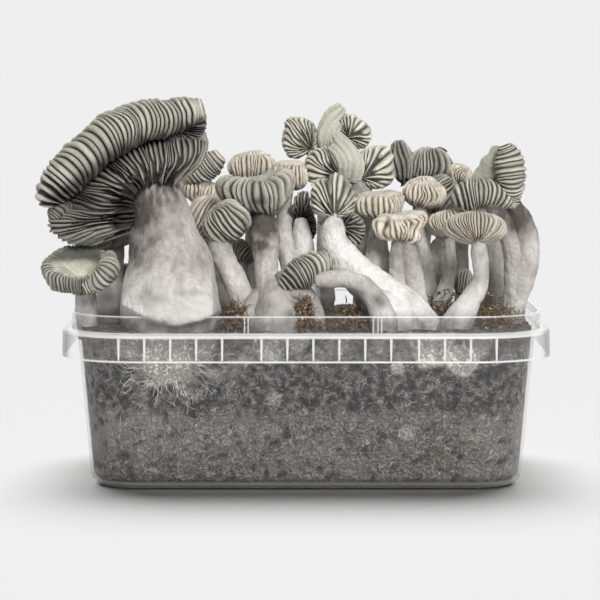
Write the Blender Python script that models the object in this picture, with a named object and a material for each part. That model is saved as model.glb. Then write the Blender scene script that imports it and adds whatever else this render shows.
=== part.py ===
"""Mushroom grow kit: a clear lidded tub, opened, full of a grown-through substrate with a flush
of folded, gilled mushrooms standing in it.

The frame: X runs along the tub, the front is towards -Y, Z is up, and the origin is at the middle
of the tub's base. All sizes below are in millimetres and become metres where meshes are made.
"""

import math

import bmesh
import bpy
from mathutils import Matrix, Vector

MM = 0.001
GAP = 0.3  # clearance left round a piece that sits in or against another
FLAT_ANGLE = math.radians(0.2)  # faces that bend less than this count as one

# ---------------------------------------------------------------- driving sizes of the tub
BASE_HALF = (84.6, 53.1)  # outer half length and half depth where the wall starts
BASE_CORNER = 20.0
WALL_FLARE = 5.2  # how far the wall leans out from the base up to the flange
WALL_THICK = 1.0
FLOOR_THICK = 1.2
FLANGE_Z = 61.2  # top of the flange that the lid sits on
FLANGE_THICK = 1.4
SKIRT_OUT = 5.8  # from the wall's top to the skirt's outer face
SKIRT_THICK = 1.0
SKIRT_LOW_Z = 50.6
COLLAR_OUT = 2.1  # from the wall's top to the collar's outer face
RIM_Z = 68.2
RIB_PITCH = 9.9
RIB_THICK = 1.1
RIB_GROUPS = ((-71.7, 5), (-17.1, 6), (43.0, 4))  # first rib's place along X, how many
CORNER_STEPS = 3
# The rounded bottom edge, outside and inside: how far in from the wall's outer face, and the height.
OUTER_EDGE = ((4.0, 0.0), (1.4, 1.0), (0.0, 3.6))
INNER_EDGE = ((WALL_THICK, 4.0), (2.4, FLOOR_THICK + 0.4), (4.2, FLOOR_THICK))

# ---------------------------------------------------------------- the substrate
SOIL_CLEAR = 0.4
SOIL_TOP_Z = 61.0
SOIL_ROUGH = 1.3
SOIL_RINGS = (0.96, 0.74, 0.40)  # rings of the top, as shares of its outline
SOIL_EDGE = ((4.9, FLOOR_THICK + SOIL_CLEAR), (3.0, FLOOR_THICK + SOIL_CLEAR + 0.5))
# Loose clumps of casing on top: x, y, z of the middle, and half sizes.
CLUMPS = (
    (-27.0, -50.0, 65.0, 7.5, 5.0, 6.5),
    (17.5, -38.0, 65.0, 6.0, 5.5, 7.5),
    (2.0, -42.0, 64.0, 3.6, 4.6, 8.0),
    (63.5, -12.0, 64.0, 12.0, 9.0, 7.0),
    (75.0, -34.0, 63.0, 10.0, 10.0, 6.0),
)

# ---------------------------------------------------------------- the stems
# Points from the foot up: x, y, z and radius.
STEMS = {
    "giant_stem": (
        (-52.5, -41.5, 43.5, 6.0),
        (-52.5, -41.0, 47.0, 11.5),
        (-53.0, -40.0, 56.0, 17.0),
        (-53.0, -39.5, 66.0, 20.5),
        (-53.2, -38.0, 74.0, 19.5),
        (-53.3, -37.0, 86.0, 17.0),
        (-55.2, -36.0, 96.0, 14.0),
        (-56.8, -35.0, 105.0, 11.8),
        (-56.8, -35.0, 113.0, 8.8),
        (-57.5, -35.0, 119.0, 6.5),
    ),
    "left_rear_stem": (
        (-79.2, -16.0, 57.0, 5.2),
        (-79.2, -16.5, 68.0, 4.8),
        (-79.4, -17.0, 80.0, 4.3),
        (-78.4, -18.0, 89.0, 4.9),
        (-78.0, -18.0, 94.0, 5.0),
    ),
    "open_cup_stem": (
        (-85.6, -33.0, 57.0, 4.2),
        (-86.2, -34.0, 68.0, 4.2),
        (-86.8, -36.0, 77.0, 4.0),
        (-87.0, -37.0, 81.0, 3.8),
    ),
    "tucked_stem": ((-71.0, 3.0, 57.0, 3.0), (-72.0, 3.0, 66.0, 2.8), (-73.0, 3.0, 73.0, 2.6)),
    "peeping_stem": (
        (-47.5, 12.0, 57.0, 4.6),
        (-47.8, 12.0, 76.0, 4.1),
        (-47.0, 13.0, 93.0, 3.7),
        (-43.5, 13.0, 108.0, 3.3),
        (-41.0, 12.0, 119.0, 2.9),
    ),
    "pale_left_stem": ((-39.0, 26.0, 57.0, 3.6), (-40.5, 24.0, 85.0, 3.1), (-42.0, 20.0, 108.0, 2.6)),
    "buff_stem": (
        (-34.0, 4.0, 57.0, 4.8),
        (-35.0, 2.0, 76.0, 4.2),
        (-38.5, 0.0, 90.0, 3.8),
        (-39.5, 0.0, 97.0, 3.2),
    ),
    "striped_stem": (
        (-18.5, -36.0, 57.0, 7.0),
        (-22.0, -34.0, 67.0, 5.8),
        (-26.4, -30.0, 76.0, 4.9),
        (-31.0, -27.0, 85.0, 4.6),
        (-34.0, -26.0, 93.0, 4.6),
        (-33.0, -26.0, 98.0, 3.4),
    ),
    "centre_stem": (
        (-9.8, -42.5, 56.0, 13.2),
        (-10.0, -42.2, 64.5, 13.2),
        (-11.4, -41.0, 71.0, 10.4),
        (-13.6, -38.0, 77.0, 6.4),
        (-15.4, -33.5, 84.0, 4.9),
        (-16.0, -28.0, 92.0, 5.6),
        (-16.4, -22.5, 100.0, 5.4),
        (-17.5, -19.0, 108.0, 3.8),
    ),
    "pumpkin_stem": ((-23.0, 16.0, 57.0, 3.8), (-22.0, 15.0, 88.0, 3.2), (-21.7, 13.0, 120.0, 2.6)),
    "button_stem": (
        (-0.5, -19.0, 57.0, 4.6),
        (-1.5, -19.0, 72.0, 4.0),
        (-4.0, -17.0, 83.0, 3.6),
        (-6.8, -11.0, 95.0, 3.0),
        (-7.0, 0.0, 108.0, 2.6),
        (-6.6, 3.0, 116.0, 2.4),
    ),
    "star_stem": (
        (2.0, -8.0, 57.0, 5.8),
        (0.8, -10.0, 70.0, 5.2),
        (0.2, -12.0, 83.0, 4.4),
        (-1.2, -12.5, 93.0, 4.0),
        (-2.2, -11.0, 101.0, 3.5),
        (-2.4, -9.0, 105.0, 2.5),
    ),
    "egg_stem": (
        (52.0, -38.0, 57.5, 5.5),
        (40.0, -36.5, 67.5, 8.0),
        (27.0, -32.5, 76.5, 7.6),
        (16.6, -28.0, 85.0, 7.1),
        (10.4, -22.5, 93.0, 5.9),
        (10.8, -19.0, 100.5, 3.7),
        (11.2, -18.0, 106.0, 2.7),
    ),
    "arched_stem": (
        (30.4, -50.0, 57.0, 5.4),
        (29.8, -50.0, 66.0, 5.3),
        (27.4, -49.5, 72.5, 4.6),
        (22.5, -49.0, 78.4, 3.8),
        (15.9, -48.5, 81.6, 3.5),
        (9.3, -48.0, 81.6, 3.4),
        (3.6, -47.5, 80.6, 2.9),
    ),
    "fan_rear_stem": ((8.0, 30.0, 57.0, 4.2), (8.2, 29.0, 90.0, 3.6), (8.4, 26.0, 130.0, 2.8)),
    "fan_front_stem": (
        (23.5, 6.0, 57.0, 4.8),
        (23.8, 5.0, 85.0, 4.3),
        (22.8, 3.0, 106.0, 4.8),
        (21.6, 2.0, 117.5, 4.2),
    ),
    "dusky_stem": ((47.0, 27.0, 57.0, 4.2), (48.5, 26.0, 92.0, 3.6), (49.0, 24.0, 118.0, 3.0)),
    "cream_rear_stem": ((65.0, 22.0, 57.0, 3.2), (64.5, 22.0, 90.0, 2.8), (64.8, 20.0, 119.0, 2.2)),
    "dark_rear_stem": ((56.5, 13.0, 57.0, 3.4), (56.0, 12.0, 92.0, 3.0), (55.4, 8.0, 107.0, 2.8)),
    "cream_left_stem": (
        (34.0, -12.0, 57.0, 5.6),
        (33.6, -11.0, 70.0, 5.0),
        (31.0, -10.0, 82.0, 4.3),
        (29.3, -10.0, 93.0, 3.4),
        (29.5, -10.0, 105.0, 2.8),
    ),
    "cream_tall_stem": (
        (49.8, -8.0, 57.0, 5.2),
        (49.2, -7.0, 70.0, 4.4),
        (48.2, -6.0, 82.0, 3.7),
        (46.3, -6.0, 94.0, 3.3),
        (45.9, -6.0, 110.0, 2.8),
    ),
    "white_button_stem": (
        (45.2, -21.0, 57.0, 5.4),
        (44.8, -21.0, 67.0, 4.7),
        (43.6, -22.0, 76.0, 4.0),
        (41.6, -23.0, 86.0, 3.6),
        (39.6, -24.0, 97.0, 2.8),
    ),
    "parasol_stem": (
        (55.6, -43.0, 56.0, 6.6),
        (58.6, -43.0, 63.5, 6.6),
        (63.1, -42.5, 71.0, 4.6),
        (67.4, -42.0, 79.0, 3.4),
        (68.0, -42.0, 87.0, 3.3),
        (67.2, -42.0, 93.0, 3.0),
        (66.8, -42.0, 98.0, 2.0),
    ),
    "slim_stem": (
        (52.6, -14.5, 57.0, 4.2),
        (54.6, -14.0, 71.0, 3.8),
        (57.0, -13.0, 79.0, 2.8),
        (57.6, -12.0, 88.0, 2.4),
        (56.9, -12.0, 99.0, 2.1),
    ),
    "pale_rear_stem": (
        (80.0, 22.0, 57.0, 7.8),
        (80.2, 23.0, 72.0, 7.8),
        (78.0, 24.0, 88.0, 7.2),
        (73.2, 24.0, 102.0, 5.6),
        (71.0, 24.0, 108.0, 4.0),
    ),
    "wart": ((51.5, 1.5, 57.0, 3.6), (52.0, 2.0, 72.0, 4.4), (53.0, 2.5, 84.0, 4.8), (53.2, 2.5, 93.0, 2.6)),
    "sprout_stem": ((64.4, -5.0, 57.0, 2.4), (64.2, -5.0, 71.0, 2.0)),
}
# The ear mushroom has two stems grown together.
EAR_STEMS = (
    (
        (84.0, -15.0, 57.0, 5.6),
        (85.0, -15.0, 68.0, 4.9),
        (87.4, -15.0, 78.0, 5.6),
        (88.8, -15.0, 86.0, 5.5),
        (88.1, -15.0, 94.0, 5.3),
        (85.2, -15.5, 102.5, 4.8),
        (81.6, -16.0, 110.0, 3.4),
    ),
    (
        (82.0, -16.0, 57.0, 4.2),
        (82.6, -16.0, 70.0, 3.8),
        (82.8, -16.5, 80.0, 3.8),
        (82.4, -17.0, 90.0, 3.9),
        (80.0, -17.5, 98.0, 4.1),
        (76.0, -18.0, 105.0, 3.9),
        (73.4, -18.0, 109.5, 2.6),
    ),
)
THICK_STEM = 7.0  # a stem thicker than this gets more sides

# ---------------------------------------------------------------- the caps
# A lobe is a closed, ribbed dome: its middle, half sizes (wide, deep, tall), the lean of its axis in
# degrees (to the right, and towards the viewer), the number of coarse gill folds and their depth,
# how far its crown is sunk, and how uneven its plan is.
# A roll is a folded-over rim: its spine's points with the radius, and folds across it.
def lobe(at, size, lean=(0, 0), folds=5, fold=0.8, sunk=0.0, crown=0.8, uneven=0.06, phase=0.0, rings=5):
    return dict(kind="lobe", at=at, size=size, lean=lean, folds=folds, fold=fold, sunk=sunk,
                crown=crown, uneven=uneven, phase=phase, rings=rings)


def roll(spine, deep=1.0, folds=4, fold=0.7, around=6):
    return dict(kind="roll", spine=spine, deep=deep, folds=folds, fold=fold, around=around)


CAPS = {
    "open_cup_cap": (
        lobe((-87.2, -40.0, 84.6), (13.4, 10.5, 8.6), lean=(10, 22), folds=8, sunk=0.95, crown=0.9,
             uneven=0.08, phase=0.3, rings=6),
    ),
    "arched_cap": (
        roll(((-9.6, -46.0, 78.0, 1.8), (-7.4, -46.0, 79.6, 4.2), (-3.4, -46.0, 82.8, 5.9),
              (2.3, -46.0, 85.8, 6.2), (7.6, -46.0, 87.6, 4.8), (10.4, -46.0, 88.0, 2.2))),
    ),
    "parasol_cap": (
        lobe((66.4, -42.0, 100.4), (10.9, 9.2, 6.2), lean=(2, 6), folds=8, crown=0.9, phase=0.15),
    ),
    "giant_cap": (
        roll(((-104.6, -36.0, 112.0, 2.6), (-101.6, -36.0, 116.0, 6.4), (-94.2, -36.0, 123.0, 8.3),
              (-85.2, -36.0, 130.0, 9.0), (-75.4, -36.0, 137.6, 8.8), (-64.8, -36.0, 142.0, 8.4),
              (-54.8, -36.0, 143.8, 7.8), (-45.9, -36.0, 146.2, 5.6), (-40.2, -36.0, 147.6, 2.8)),
             deep=1.25, folds=9, fold=0.8, around=7),
        lobe((-71.0, -33.0, 116.5), (34.5, 14.0, 13.2), lean=(-27, 0), folds=10, fold=1.0, crown=1.0,
             uneven=0.03, phase=0.2),
    ),
    "striped_cap": (
        lobe((-32.0, -26.0, 102.4), (9.4, 8.2, 9.2), lean=(-38, 10), folds=8, crown=0.85, phase=0.4),
    ),
    "centre_cap": (
        lobe((-18.6, -19.0, 114.6), (13.4, 11.5, 10.0), lean=(8, 4), folds=9, sunk=0.35,
             crown=0.9, uneven=0.08, phase=0.1, rings=6),
    ),
    "egg_cap": (
        lobe((10.7, -18.0, 111.8), (9.9, 8.2, 10.2), lean=(0, 4), folds=8, crown=1.0, phase=0.35, rings=6),
        lobe((17.6, -14.0, 96.4), (5.2, 3.6, 7.6), lean=(-28, 0), folds=6, fold=0.3, crown=1.0),
    ),
    "white_button_cap": (
        lobe((36.6, -24.0, 101.6), (9.3, 8.0, 7.0), lean=(-8, 6), sunk=0.35, crown=0.85,
             uneven=0.12, phase=0.55),
    ),
    "ear_cap": (
        roll(((57.6, -18.0, 110.4, 2.4), (62.0, -18.0, 111.8, 5.8), (69.0, -18.0, 113.0, 6.2),
              (75.4, -18.0, 112.2, 5.6), (80.4, -18.0, 110.0, 4.0), (83.4, -18.0, 107.8, 1.8))),
        roll(((83.4, -18.2, 108.0, 2.0), (83.0, -18.2, 113.0, 4.6), (82.2, -18.2, 120.0, 6.2),
              (80.6, -18.2, 127.0, 5.4), (78.6, -18.2, 131.6, 2.8))),
        lobe((74.6, -13.0, 122.4), (5.8, 3.2, 8.6), lean=(22, 0), folds=3, fold=0.2, crown=1.0, rings=4),
    ),
    "cream_left_cap": (
        lobe((30.1, -10.0, 108.8), (8.9, 8.0, 6.8), lean=(0, 6), sunk=0.2, crown=0.9, phase=0.2),
    ),
    "cream_tall_cap": (
        lobe((47.5, -6.0, 112.6), (8.8, 7.8, 5.8), lean=(6, 4), crown=1.0, phase=0.7),
        lobe((47.6, -6.0, 118.2), (3.6, 3.4, 2.6), folds=3, fold=0.1, crown=1.0, rings=4),
    ),
    "slim_cap": (lobe((56.8, -12.0, 101.0), (8.6, 7.2, 5.8), lean=(-6, 6), phase=0.5),),
    "star_cap": (
        lobe((-2.4, -4.5, 101.8), (8.6, 5.4, 12.2), fold=0.6, crown=1.0, phase=0.25),
    ),
    "buff_cap": (lobe((-39.8, 0.0, 103.4), (8.4, 7.6, 10.0), lean=(24, 4), phase=0.8),),
    "left_rear_cap": (
        lobe((-81.5, -18.0, 95.4), (13.8, 11.0, 3.4), fold=0.3, crown=1.0, phase=0.1, rings=4),
    ),
    "peeping_cap": (
        roll(((-48.4, 12.0, 117.0, 2.0), (-45.6, 12.0, 119.0, 4.4), (-41.0, 12.0, 122.4, 6.0),
              (-36.8, 12.0, 126.6, 5.6), (-34.2, 12.0, 129.4, 2.6)), deep=1.1),
    ),
    "tucked_cap": (lobe((-74.0, 3.0, 77.0), (5.6, 6.0, 7.8), fold=0.4, rings=4),),
    "pale_left_cap": (
        lobe((-42.4, 17.0, 112.6), (9.8, 7.6, 5.4), lean=(12, 0), fold=0.5, uneven=0.1, rings=4),
    ),
    "button_cap": (
        lobe((-6.5, 4.0, 120.2), (7.2, 6.4, 6.8), sunk=0.15, crown=1.0, phase=0.4, rings=4),
    ),
    "pumpkin_cap": (
        lobe((-21.7, 13.0, 123.6), (9.2, 8.2, 6.4), crown=1.0, phase=0.3),
        lobe((-21.6, 13.0, 129.2), (3.8, 3.6, 2.6), folds=3, fold=0.1, crown=1.0, rings=4),
    ),
    "fan_front_cap": (
        lobe((6.4, 3.0, 124.0), (7.4, 5.0, 7.8), lean=(-24, 0), crown=1.0, phase=0.2),
        lobe((28.2, 3.4, 122.4), (7.6, 5.0, 9.2), lean=(16, 0), crown=1.0, phase=0.6),
        roll(((11.6, 1.0, 136.2, 1.6), (13.6, 1.0, 133.4, 3.2), (16.8, 1.0, 129.2, 3.8),
              (19.0, 1.0, 124.0, 5.2), (19.2, 2.0, 117.6, 4.6)), folds=3, fold=0.1),
    ),
    "fan_rear_cap": (
        lobe((-3.2, 25.0, 134.6), (7.8, 5.0, 8.8), lean=(-14, 0), crown=1.0, phase=0.1),
        lobe((20.0, 25.4, 136.4), (7.2, 5.0, 8.0), lean=(26, 0), crown=1.0, phase=0.5),
        roll(((9.6, 25.0, 127.0, 3.6), (8.0, 24.4, 133.0, 7.4), (8.4, 24.0, 139.4, 5.0),
              (11.6, 24.0, 145.4, 3.6), (15.0, 24.0, 148.4, 1.8)), folds=3, fold=0.1),
    ),
    "dusky_cap": (
        lobe((52.0, 22.0, 123.4), (8.8, 7.6, 8.0), lean=(6, 0), crown=1.0, phase=0.3),
        lobe((39.6, 22.4, 124.8), (5.4, 5.6, 9.2), lean=(-8, 0), folds=4, crown=1.0, rings=4),
    ),
    "dark_rear_cap": (lobe((55.4, 8.0, 111.4), (7.4, 6.4, 9.2), lean=(18, 0)),),
    "cream_rear_cap": (lobe((64.6, 20.0, 121.4), (5.8, 5.6, 4.8), lean=(20, 0), rings=4),),
    "pale_rear_cap": (lobe((70.6, 24.0, 111.4), (8.6, 7.8, 5.0), lean=(-10, 0), rings=4),),
    "sprout_cap": (lobe((64.0, -5.0, 76.6), (4.0, 4.2, 6.4), lean=(8, 0), fold=0.4, rings=4),),
}

# Colours: red, green, blue, roughness.
LOOKS = {
    "tub_plastic": ((0.80, 0.80, 0.78), 0.30),
    "substrate": ((0.17, 0.16, 0.15), 0.95),
    "stem_flesh": ((0.78, 0.74, 0.70), 0.75),
    "gills_grey": ((0.42, 0.42, 0.37), 0.80),
    "gills_cream": ((0.66, 0.60, 0.48), 0.80),
    "gills_dark": ((0.20, 0.20, 0.20), 0.80),
}
CREAM = ("cream_left_cap", "cream_tall_cap", "white_button_cap", "pumpkin_cap", "button_cap",
         "cream_rear_cap", "buff_cap", "pale_left_cap", "slim_cap", "parasol_cap", "pale_rear_cap")
DARK = ("dusky_cap", "dark_rear_cap", "tucked_cap", "star_cap")


# ---------------------------------------------------------------- small tools
def clear_scene():
    for thing in list(bpy.data.objects):
        bpy.data.objects.remove(thing, do_unlink=True)


def new_collection(name):
    made = bpy.data.collections.new(name)
    bpy.context.scene.collection.children.link(made)
    return made


def look(slot):
    """The Principled material of one of the LOOKS."""
    found = bpy.data.materials.get(slot)
    if found:
        return found
    colour, rough = LOOKS[slot]
    made = bpy.data.materials.new(slot)
    made.use_nodes = True
    shader = made.node_tree.nodes["Principled BSDF"]
    shader.inputs["Base Color"].default_value = (*colour, 1.0)
    shader.inputs["Roughness"].default_value = rough
    shader.inputs["Metallic"].default_value = 0.0
    if slot == "tub_plastic":
        shader.inputs["Transmission Weight"].default_value = 0.8
    return made


def add_object(name, mesh, collection, slot):
    made = bpy.data.objects.new(name, mesh)
    collection.objects.link(made)
    mesh.materials.clear()
    mesh.materials.append(look(slot))
    return made


def mesh_from(bm, name):
    """A mesh of flat triangles, so that a bent quad is split the same way wherever it is used."""
    bmesh.ops.triangulate(bm, faces=bm.faces)
    bmesh.ops.recalc_face_normals(bm, faces=bm.faces)
    mesh = bpy.data.meshes.new(name)
    bm.to_mesh(mesh)
    bm.free()
    return mesh


def evaluated_mesh(thing):
    """The object's mesh with its modifiers applied, in world space, with loose caps welded."""
    bpy.context.view_layer.update()
    depsgraph = bpy.context.evaluated_depsgraph_get()
    mesh = bpy.data.meshes.new_from_object(thing.evaluated_get(depsgraph))
    bm = bmesh.new()
    bm.from_mesh(mesh)
    bm.transform(thing.matrix_world)
    bmesh.ops.remove_doubles(bm, verts=bm.verts, dist=0.00001)
    bpy.data.meshes.remove(mesh)
    return mesh_from(bm, thing.name)


def clean_up(mesh):
    """Keeps the biggest of a mesh's separate bodies and joins its faces that lie in one plane."""
    bm = bmesh.new()
    bm.from_mesh(mesh)
    bm.faces.ensure_lookup_table()
    left = set(bm.faces)
    islands = []
    while left:
        island = set()
        front = [next(iter(left))]
        while front:
            face = front.pop()
            if face not in left:
                continue
            left.remove(face)
            island.add(face)
            for edge in face.edges:
                front.extend(other for other in edge.link_faces if other in left)
        islands.append(island)
    islands.sort(key=lambda faces: -sum(face.calc_area() for face in faces))
    loose = [face for island in islands[1:] for face in island]
    bmesh.ops.delete(bm, geom=loose, context="FACES")
    bmesh.ops.dissolve_limit(bm, angle_limit=FLAT_ANGLE, verts=bm.verts, edges=bm.edges)
    bm.to_mesh(mesh)
    bm.free()


def fattened(mesh, by):
    """A copy of a mesh with its skin moved out."""
    copy = mesh.copy()
    normals = [vertex.normal.copy() for vertex in copy.vertices]
    for vertex, normal in zip(copy.vertices, normals):
        vertex.co += normal * by * MM
    return copy


def is_solid(mesh):
    """Whether a mesh is closed and holds something."""
    bm = bmesh.new()
    bm.from_mesh(mesh)
    good = len(bm.faces) > 3 and all(len(edge.link_faces) == 2 for edge in bm.edges)
    good = good and bm.calc_volume() > 0
    bm.free()
    return good


def boolean(mesh, other, operation, solver):
    """The mesh after one Boolean modifier."""
    cutters = bpy.data.collections["cutters"]
    target = bpy.data.objects.new(mesh.name, mesh)
    helper = bpy.data.objects.new("cutter", other)
    helper.hide_render = True
    helper.display_type = "WIRE"
    for thing in (target, helper):
        cutters.objects.link(thing)
    step = target.modifiers.new("bool", "BOOLEAN")
    step.operation = operation
    step.solver = solver
    step.object = helper
    made = evaluated_mesh(target)
    for thing in (target, helper):
        bpy.data.objects.remove(thing, do_unlink=True)
    return made


def booled(mesh, others, operation):
    """The mesh after a Boolean with each of the other meshes in turn, without loose crumbs."""
    made = mesh
    for other in others:
        next_mesh = boolean(made, other, operation, "EXACT")
        if not is_solid(next_mesh):
            next_mesh = boolean(made, other, operation, "MANIFOLD")
        made = next_mesh
    clean_up(made)
    return made


def box_of(mesh):
    places = [vertex.co for vertex in mesh.vertices]
    low = Vector([min(place[i] for place in places) for i in range(3)])
    high = Vector([max(place[i] for place in places) for i in range(3)])
    return low, high


def boxes_meet(first, second):
    margin = 2 * GAP * MM
    (a_low, a_high), (b_low, b_high) = box_of(first), box_of(second)
    return all(a_low[i] < b_high[i] + margin and b_low[i] < a_high[i] + margin for i in range(3))


# ---------------------------------------------------------------- the tub
def ring_points(half_x, half_y, corner, z, steps=CORNER_STEPS):
    """Points round a rounded rectangle."""
    places = []
    for quarter, (side_x, side_y) in enumerate(((1, 1), (-1, 1), (-1, -1), (1, -1))):
        for step in range(steps + 1):
            angle = math.pi / 2 * (quarter + step / steps)
            x = side_x * (half_x - corner) + corner * math.cos(angle)
            y = side_y * (half_y - corner) + corner * math.sin(angle)
            places.append(Vector((x, y, z)) * MM)
    return places


def loft(rings):
    """A closed body through rings of points, with flat faces on the first and last."""
    bm = bmesh.new()
    rows = [[bm.verts.new(place) for place in ring] for ring in rings]
    count = len(rows[0])
    for lower, upper in zip(rows, rows[1:]):
        for i in range(count):
            j = (i + 1) % count
            bm.faces.new((lower[i], lower[j], upper[j], upper[i]))
    bm.faces.new(rows[0])
    bm.faces.new(rows[-1])
    return bm


def wall_half(z):
    """Outer half length and half depth of the wall at a height."""
    out = WALL_FLARE * z / FLANGE_Z
    return BASE_HALF[0] + out, BASE_HALF[1] + out


def tub_ring(out, z, from_z=None):
    """A ring that stands out from the wall's outer face at from_z by a distance."""
    half_x, half_y = wall_half(z if from_z is None else from_z)
    flare = half_x - BASE_HALF[0]
    return ring_points(half_x + out, half_y + out, BASE_CORNER + flare + out, z)


def tub_shell():
    top = FLANGE_Z
    under = FLANGE_Z - FLANGE_THICK
    rings = [tub_ring(-inset, z) for inset, z in OUTER_EDGE]
    rings += [
        tub_ring(0.0, under),
        tub_ring(SKIRT_OUT - SKIRT_THICK, under, top),
        tub_ring(SKIRT_OUT - SKIRT_THICK + 0.3, SKIRT_LOW_Z, top),
        tub_ring(SKIRT_OUT + 0.3, SKIRT_LOW_Z, top),
        tub_ring(SKIRT_OUT - 0.2, top, top),
        tub_ring(COLLAR_OUT, top, top),
        tub_ring(COLLAR_OUT, RIM_Z - 0.5, top),
        tub_ring(COLLAR_OUT - 0.6, RIM_Z, top),
        tub_ring(COLLAR_OUT - 1.2, RIM_Z - 0.2, top),
        tub_ring(COLLAR_OUT - 1.0, top + 0.2, top),
        tub_ring(-WALL_THICK, top - 0.8, top),
    ]
    rings += [tub_ring(-inset, z) for inset, z in INNER_EDGE]
    return mesh_from(loft(rings), "tub_shell")


def rib_places():
    for first, count in RIB_GROUPS:
        for i in range(count):
            yield first + RIB_PITCH * i


def outline_y(x, out):
    """Half depth at a place along X of the outline that stands out from the wall's top."""
    half_x, half_y = (half + out for half in wall_half(FLANGE_Z))
    corner = BASE_CORNER + WALL_FLARE + out
    past = max(0.0, abs(x) - (half_x - corner))
    return half_y - corner + math.sqrt(corner * corner - past * past)


def tub_ribs():
    """The gussets that brace the skirt, front and back, as loose wedges in one mesh."""
    bm = bmesh.new()
    top = FLANGE_Z - FLANGE_THICK + 0.4
    low = SKIRT_LOW_Z + 1.2
    for side in (-1, 1):
        for x in rib_places():
            inner = outline_y(x, 0.3)
            outer = outline_y(x, SKIRT_OUT - SKIRT_THICK + 0.4)
            profile = ((inner, top), (outer, top), (outer, low))
            left, right = (
                [bm.verts.new(Vector((x + half, side * y, z)) * MM) for y, z in profile]
                for half in (-RIB_THICK / 2, RIB_THICK / 2)
            )
            bm.faces.new(left)
            bm.faces.new(right)
            for i in range(len(profile)):
                j = (i + 1) % len(profile)
                bm.faces.new((left[i], left[j], right[j], right[i]))
    return mesh_from(bm, "tub_ribs")


# ---------------------------------------------------------------- the substrate
def rough(x, y):
    """A smooth bumpiness from 0 to 1 over the plan."""
    a = math.sin(x * 0.19 + 1.3) * math.cos(y * 0.23 - 0.4)
    b = math.sin(x * 0.43 - y * 0.37 + 2.0)
    return 0.5 + 0.3 * a + 0.2 * b


def soil_block():
    inner = -WALL_THICK - SOIL_CLEAR
    rings = [tub_ring(-inset, z) for inset, z in SOIL_EDGE]
    rings += [
        tub_ring(inner, 4.6),
        tub_ring(inner, SOIL_TOP_Z - 1.6),
    ]
    edge = [place / MM for place in rings[-1]]
    for share in SOIL_RINGS:
        ring = []
        for place in edge:
            x, y = place.x * share, place.y * share
            ring.append(Vector((x, y, SOIL_TOP_Z - 0.6 + SOIL_ROUGH * 2 * rough(x, y))) * MM)
        rings.append(ring)
    return mesh_from(loft(rings), "soil_block")


def clump(x, y, z, wide, deep, tall):
    bm = bmesh.new()
    bmesh.ops.create_uvsphere(bm, u_segments=6, v_segments=4, radius=1.0)
    for vertex in bm.verts:
        bump = 0.85 + 0.3 * rough(40 * vertex.co.x + x, 40 * vertex.co.y + 25 * vertex.co.z)
        place = Vector((vertex.co.x * wide, vertex.co.y * deep, vertex.co.z * tall)) * bump
        vertex.co = (place + Vector((x, y, z))) * MM
    return mesh_from(bm, "clump")


# ---------------------------------------------------------------- stems
def smooth_between(points, steps):
    """Catmull-Rom points along a list of (x, y, z, radius)."""
    rows = [Vector(point) for point in points]
    rows = [2 * rows[0] - rows[1], *rows, 2 * rows[-1] - rows[-2]]
    found = []
    for before, start, end, after in zip(rows, rows[1:], rows[2:], rows[3:]):
        for step in range(steps):
            t = step / steps
            found.append(
                0.5 * (2 * start + (end - before) * t
                       + (2 * before - 5 * start + 4 * end - after) * t * t
                       + (3 * start - before - 3 * end + after) * t * t * t)
            )
    found.append(rows[-2])
    return found


def stem_mesh(name, points):
    """A tapered tube along a smooth curve through a stem's points."""
    thick = max(point[3] for point in points) > THICK_STEM
    curve = bpy.data.curves.new(name, "CURVE")
    curve.dimensions = "3D"
    curve.bevel_depth = MM
    curve.bevel_resolution = 3 if thick else 2
    curve.use_fill_caps = True
    spline = curve.splines.new("POLY")
    spline.points.add(len(points) - 1)
    for point, (x, y, z, radius) in zip(spline.points, points):
        point.co = (x * MM, y * MM, z * MM, 1.0)
        point.radius = radius
    holder = bpy.data.objects.new(name, curve)
    bpy.data.collections["cutters"].objects.link(holder)
    mesh = evaluated_mesh(holder)
    bpy.data.objects.remove(holder, do_unlink=True)
    bpy.data.curves.remove(curve)
    return mesh


# ---------------------------------------------------------------- caps
def lean_matrix(lean):
    right, near = (math.radians(angle) for angle in lean)
    return Matrix.Rotation(right, 3, "Y") @ Matrix.Rotation(near, 3, "X")


def lobe_point(form, turn, way):
    """A point of a lobe: turn goes once round its axis, way from its foot (0) to its crown (1)."""
    wide, deep, tall = form["size"]
    angle = 2 * math.pi * turn
    out = math.sin(math.pi * way)
    up = -math.cos(math.pi * way)
    phase = 2 * math.pi * form["phase"]
    plan = 1 + form["uneven"] * (math.sin(2 * angle + phase) + 0.6 * math.sin(3 * angle - phase))
    fold = form["fold"] * math.cos(form["folds"] * angle) * out
    if up > 0:
        up = form["crown"] * up - form["sunk"] * (1 - out) ** 1.5 * up * 1.6
    place = Vector((
        math.cos(angle) * (wide * plan * out + fold),
        math.sin(angle) * (deep * plan * out + fold),
        tall * up,
    ))
    return lean_matrix(form["lean"]) @ place + Vector(form["at"])


def roll_sections(form):
    """Spine points of a roll at its folds: a crest and a groove for each."""
    points = smooth_between(form["spine"], 8)
    count = 2 * form["folds"] + 1
    chosen = []
    for i in range(count):
        where = i / (count - 1) * (len(points) - 1)
        low = min(int(where), len(points) - 2)
        chosen.append(points[low].lerp(points[low + 1], where - low))
    return chosen


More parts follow.
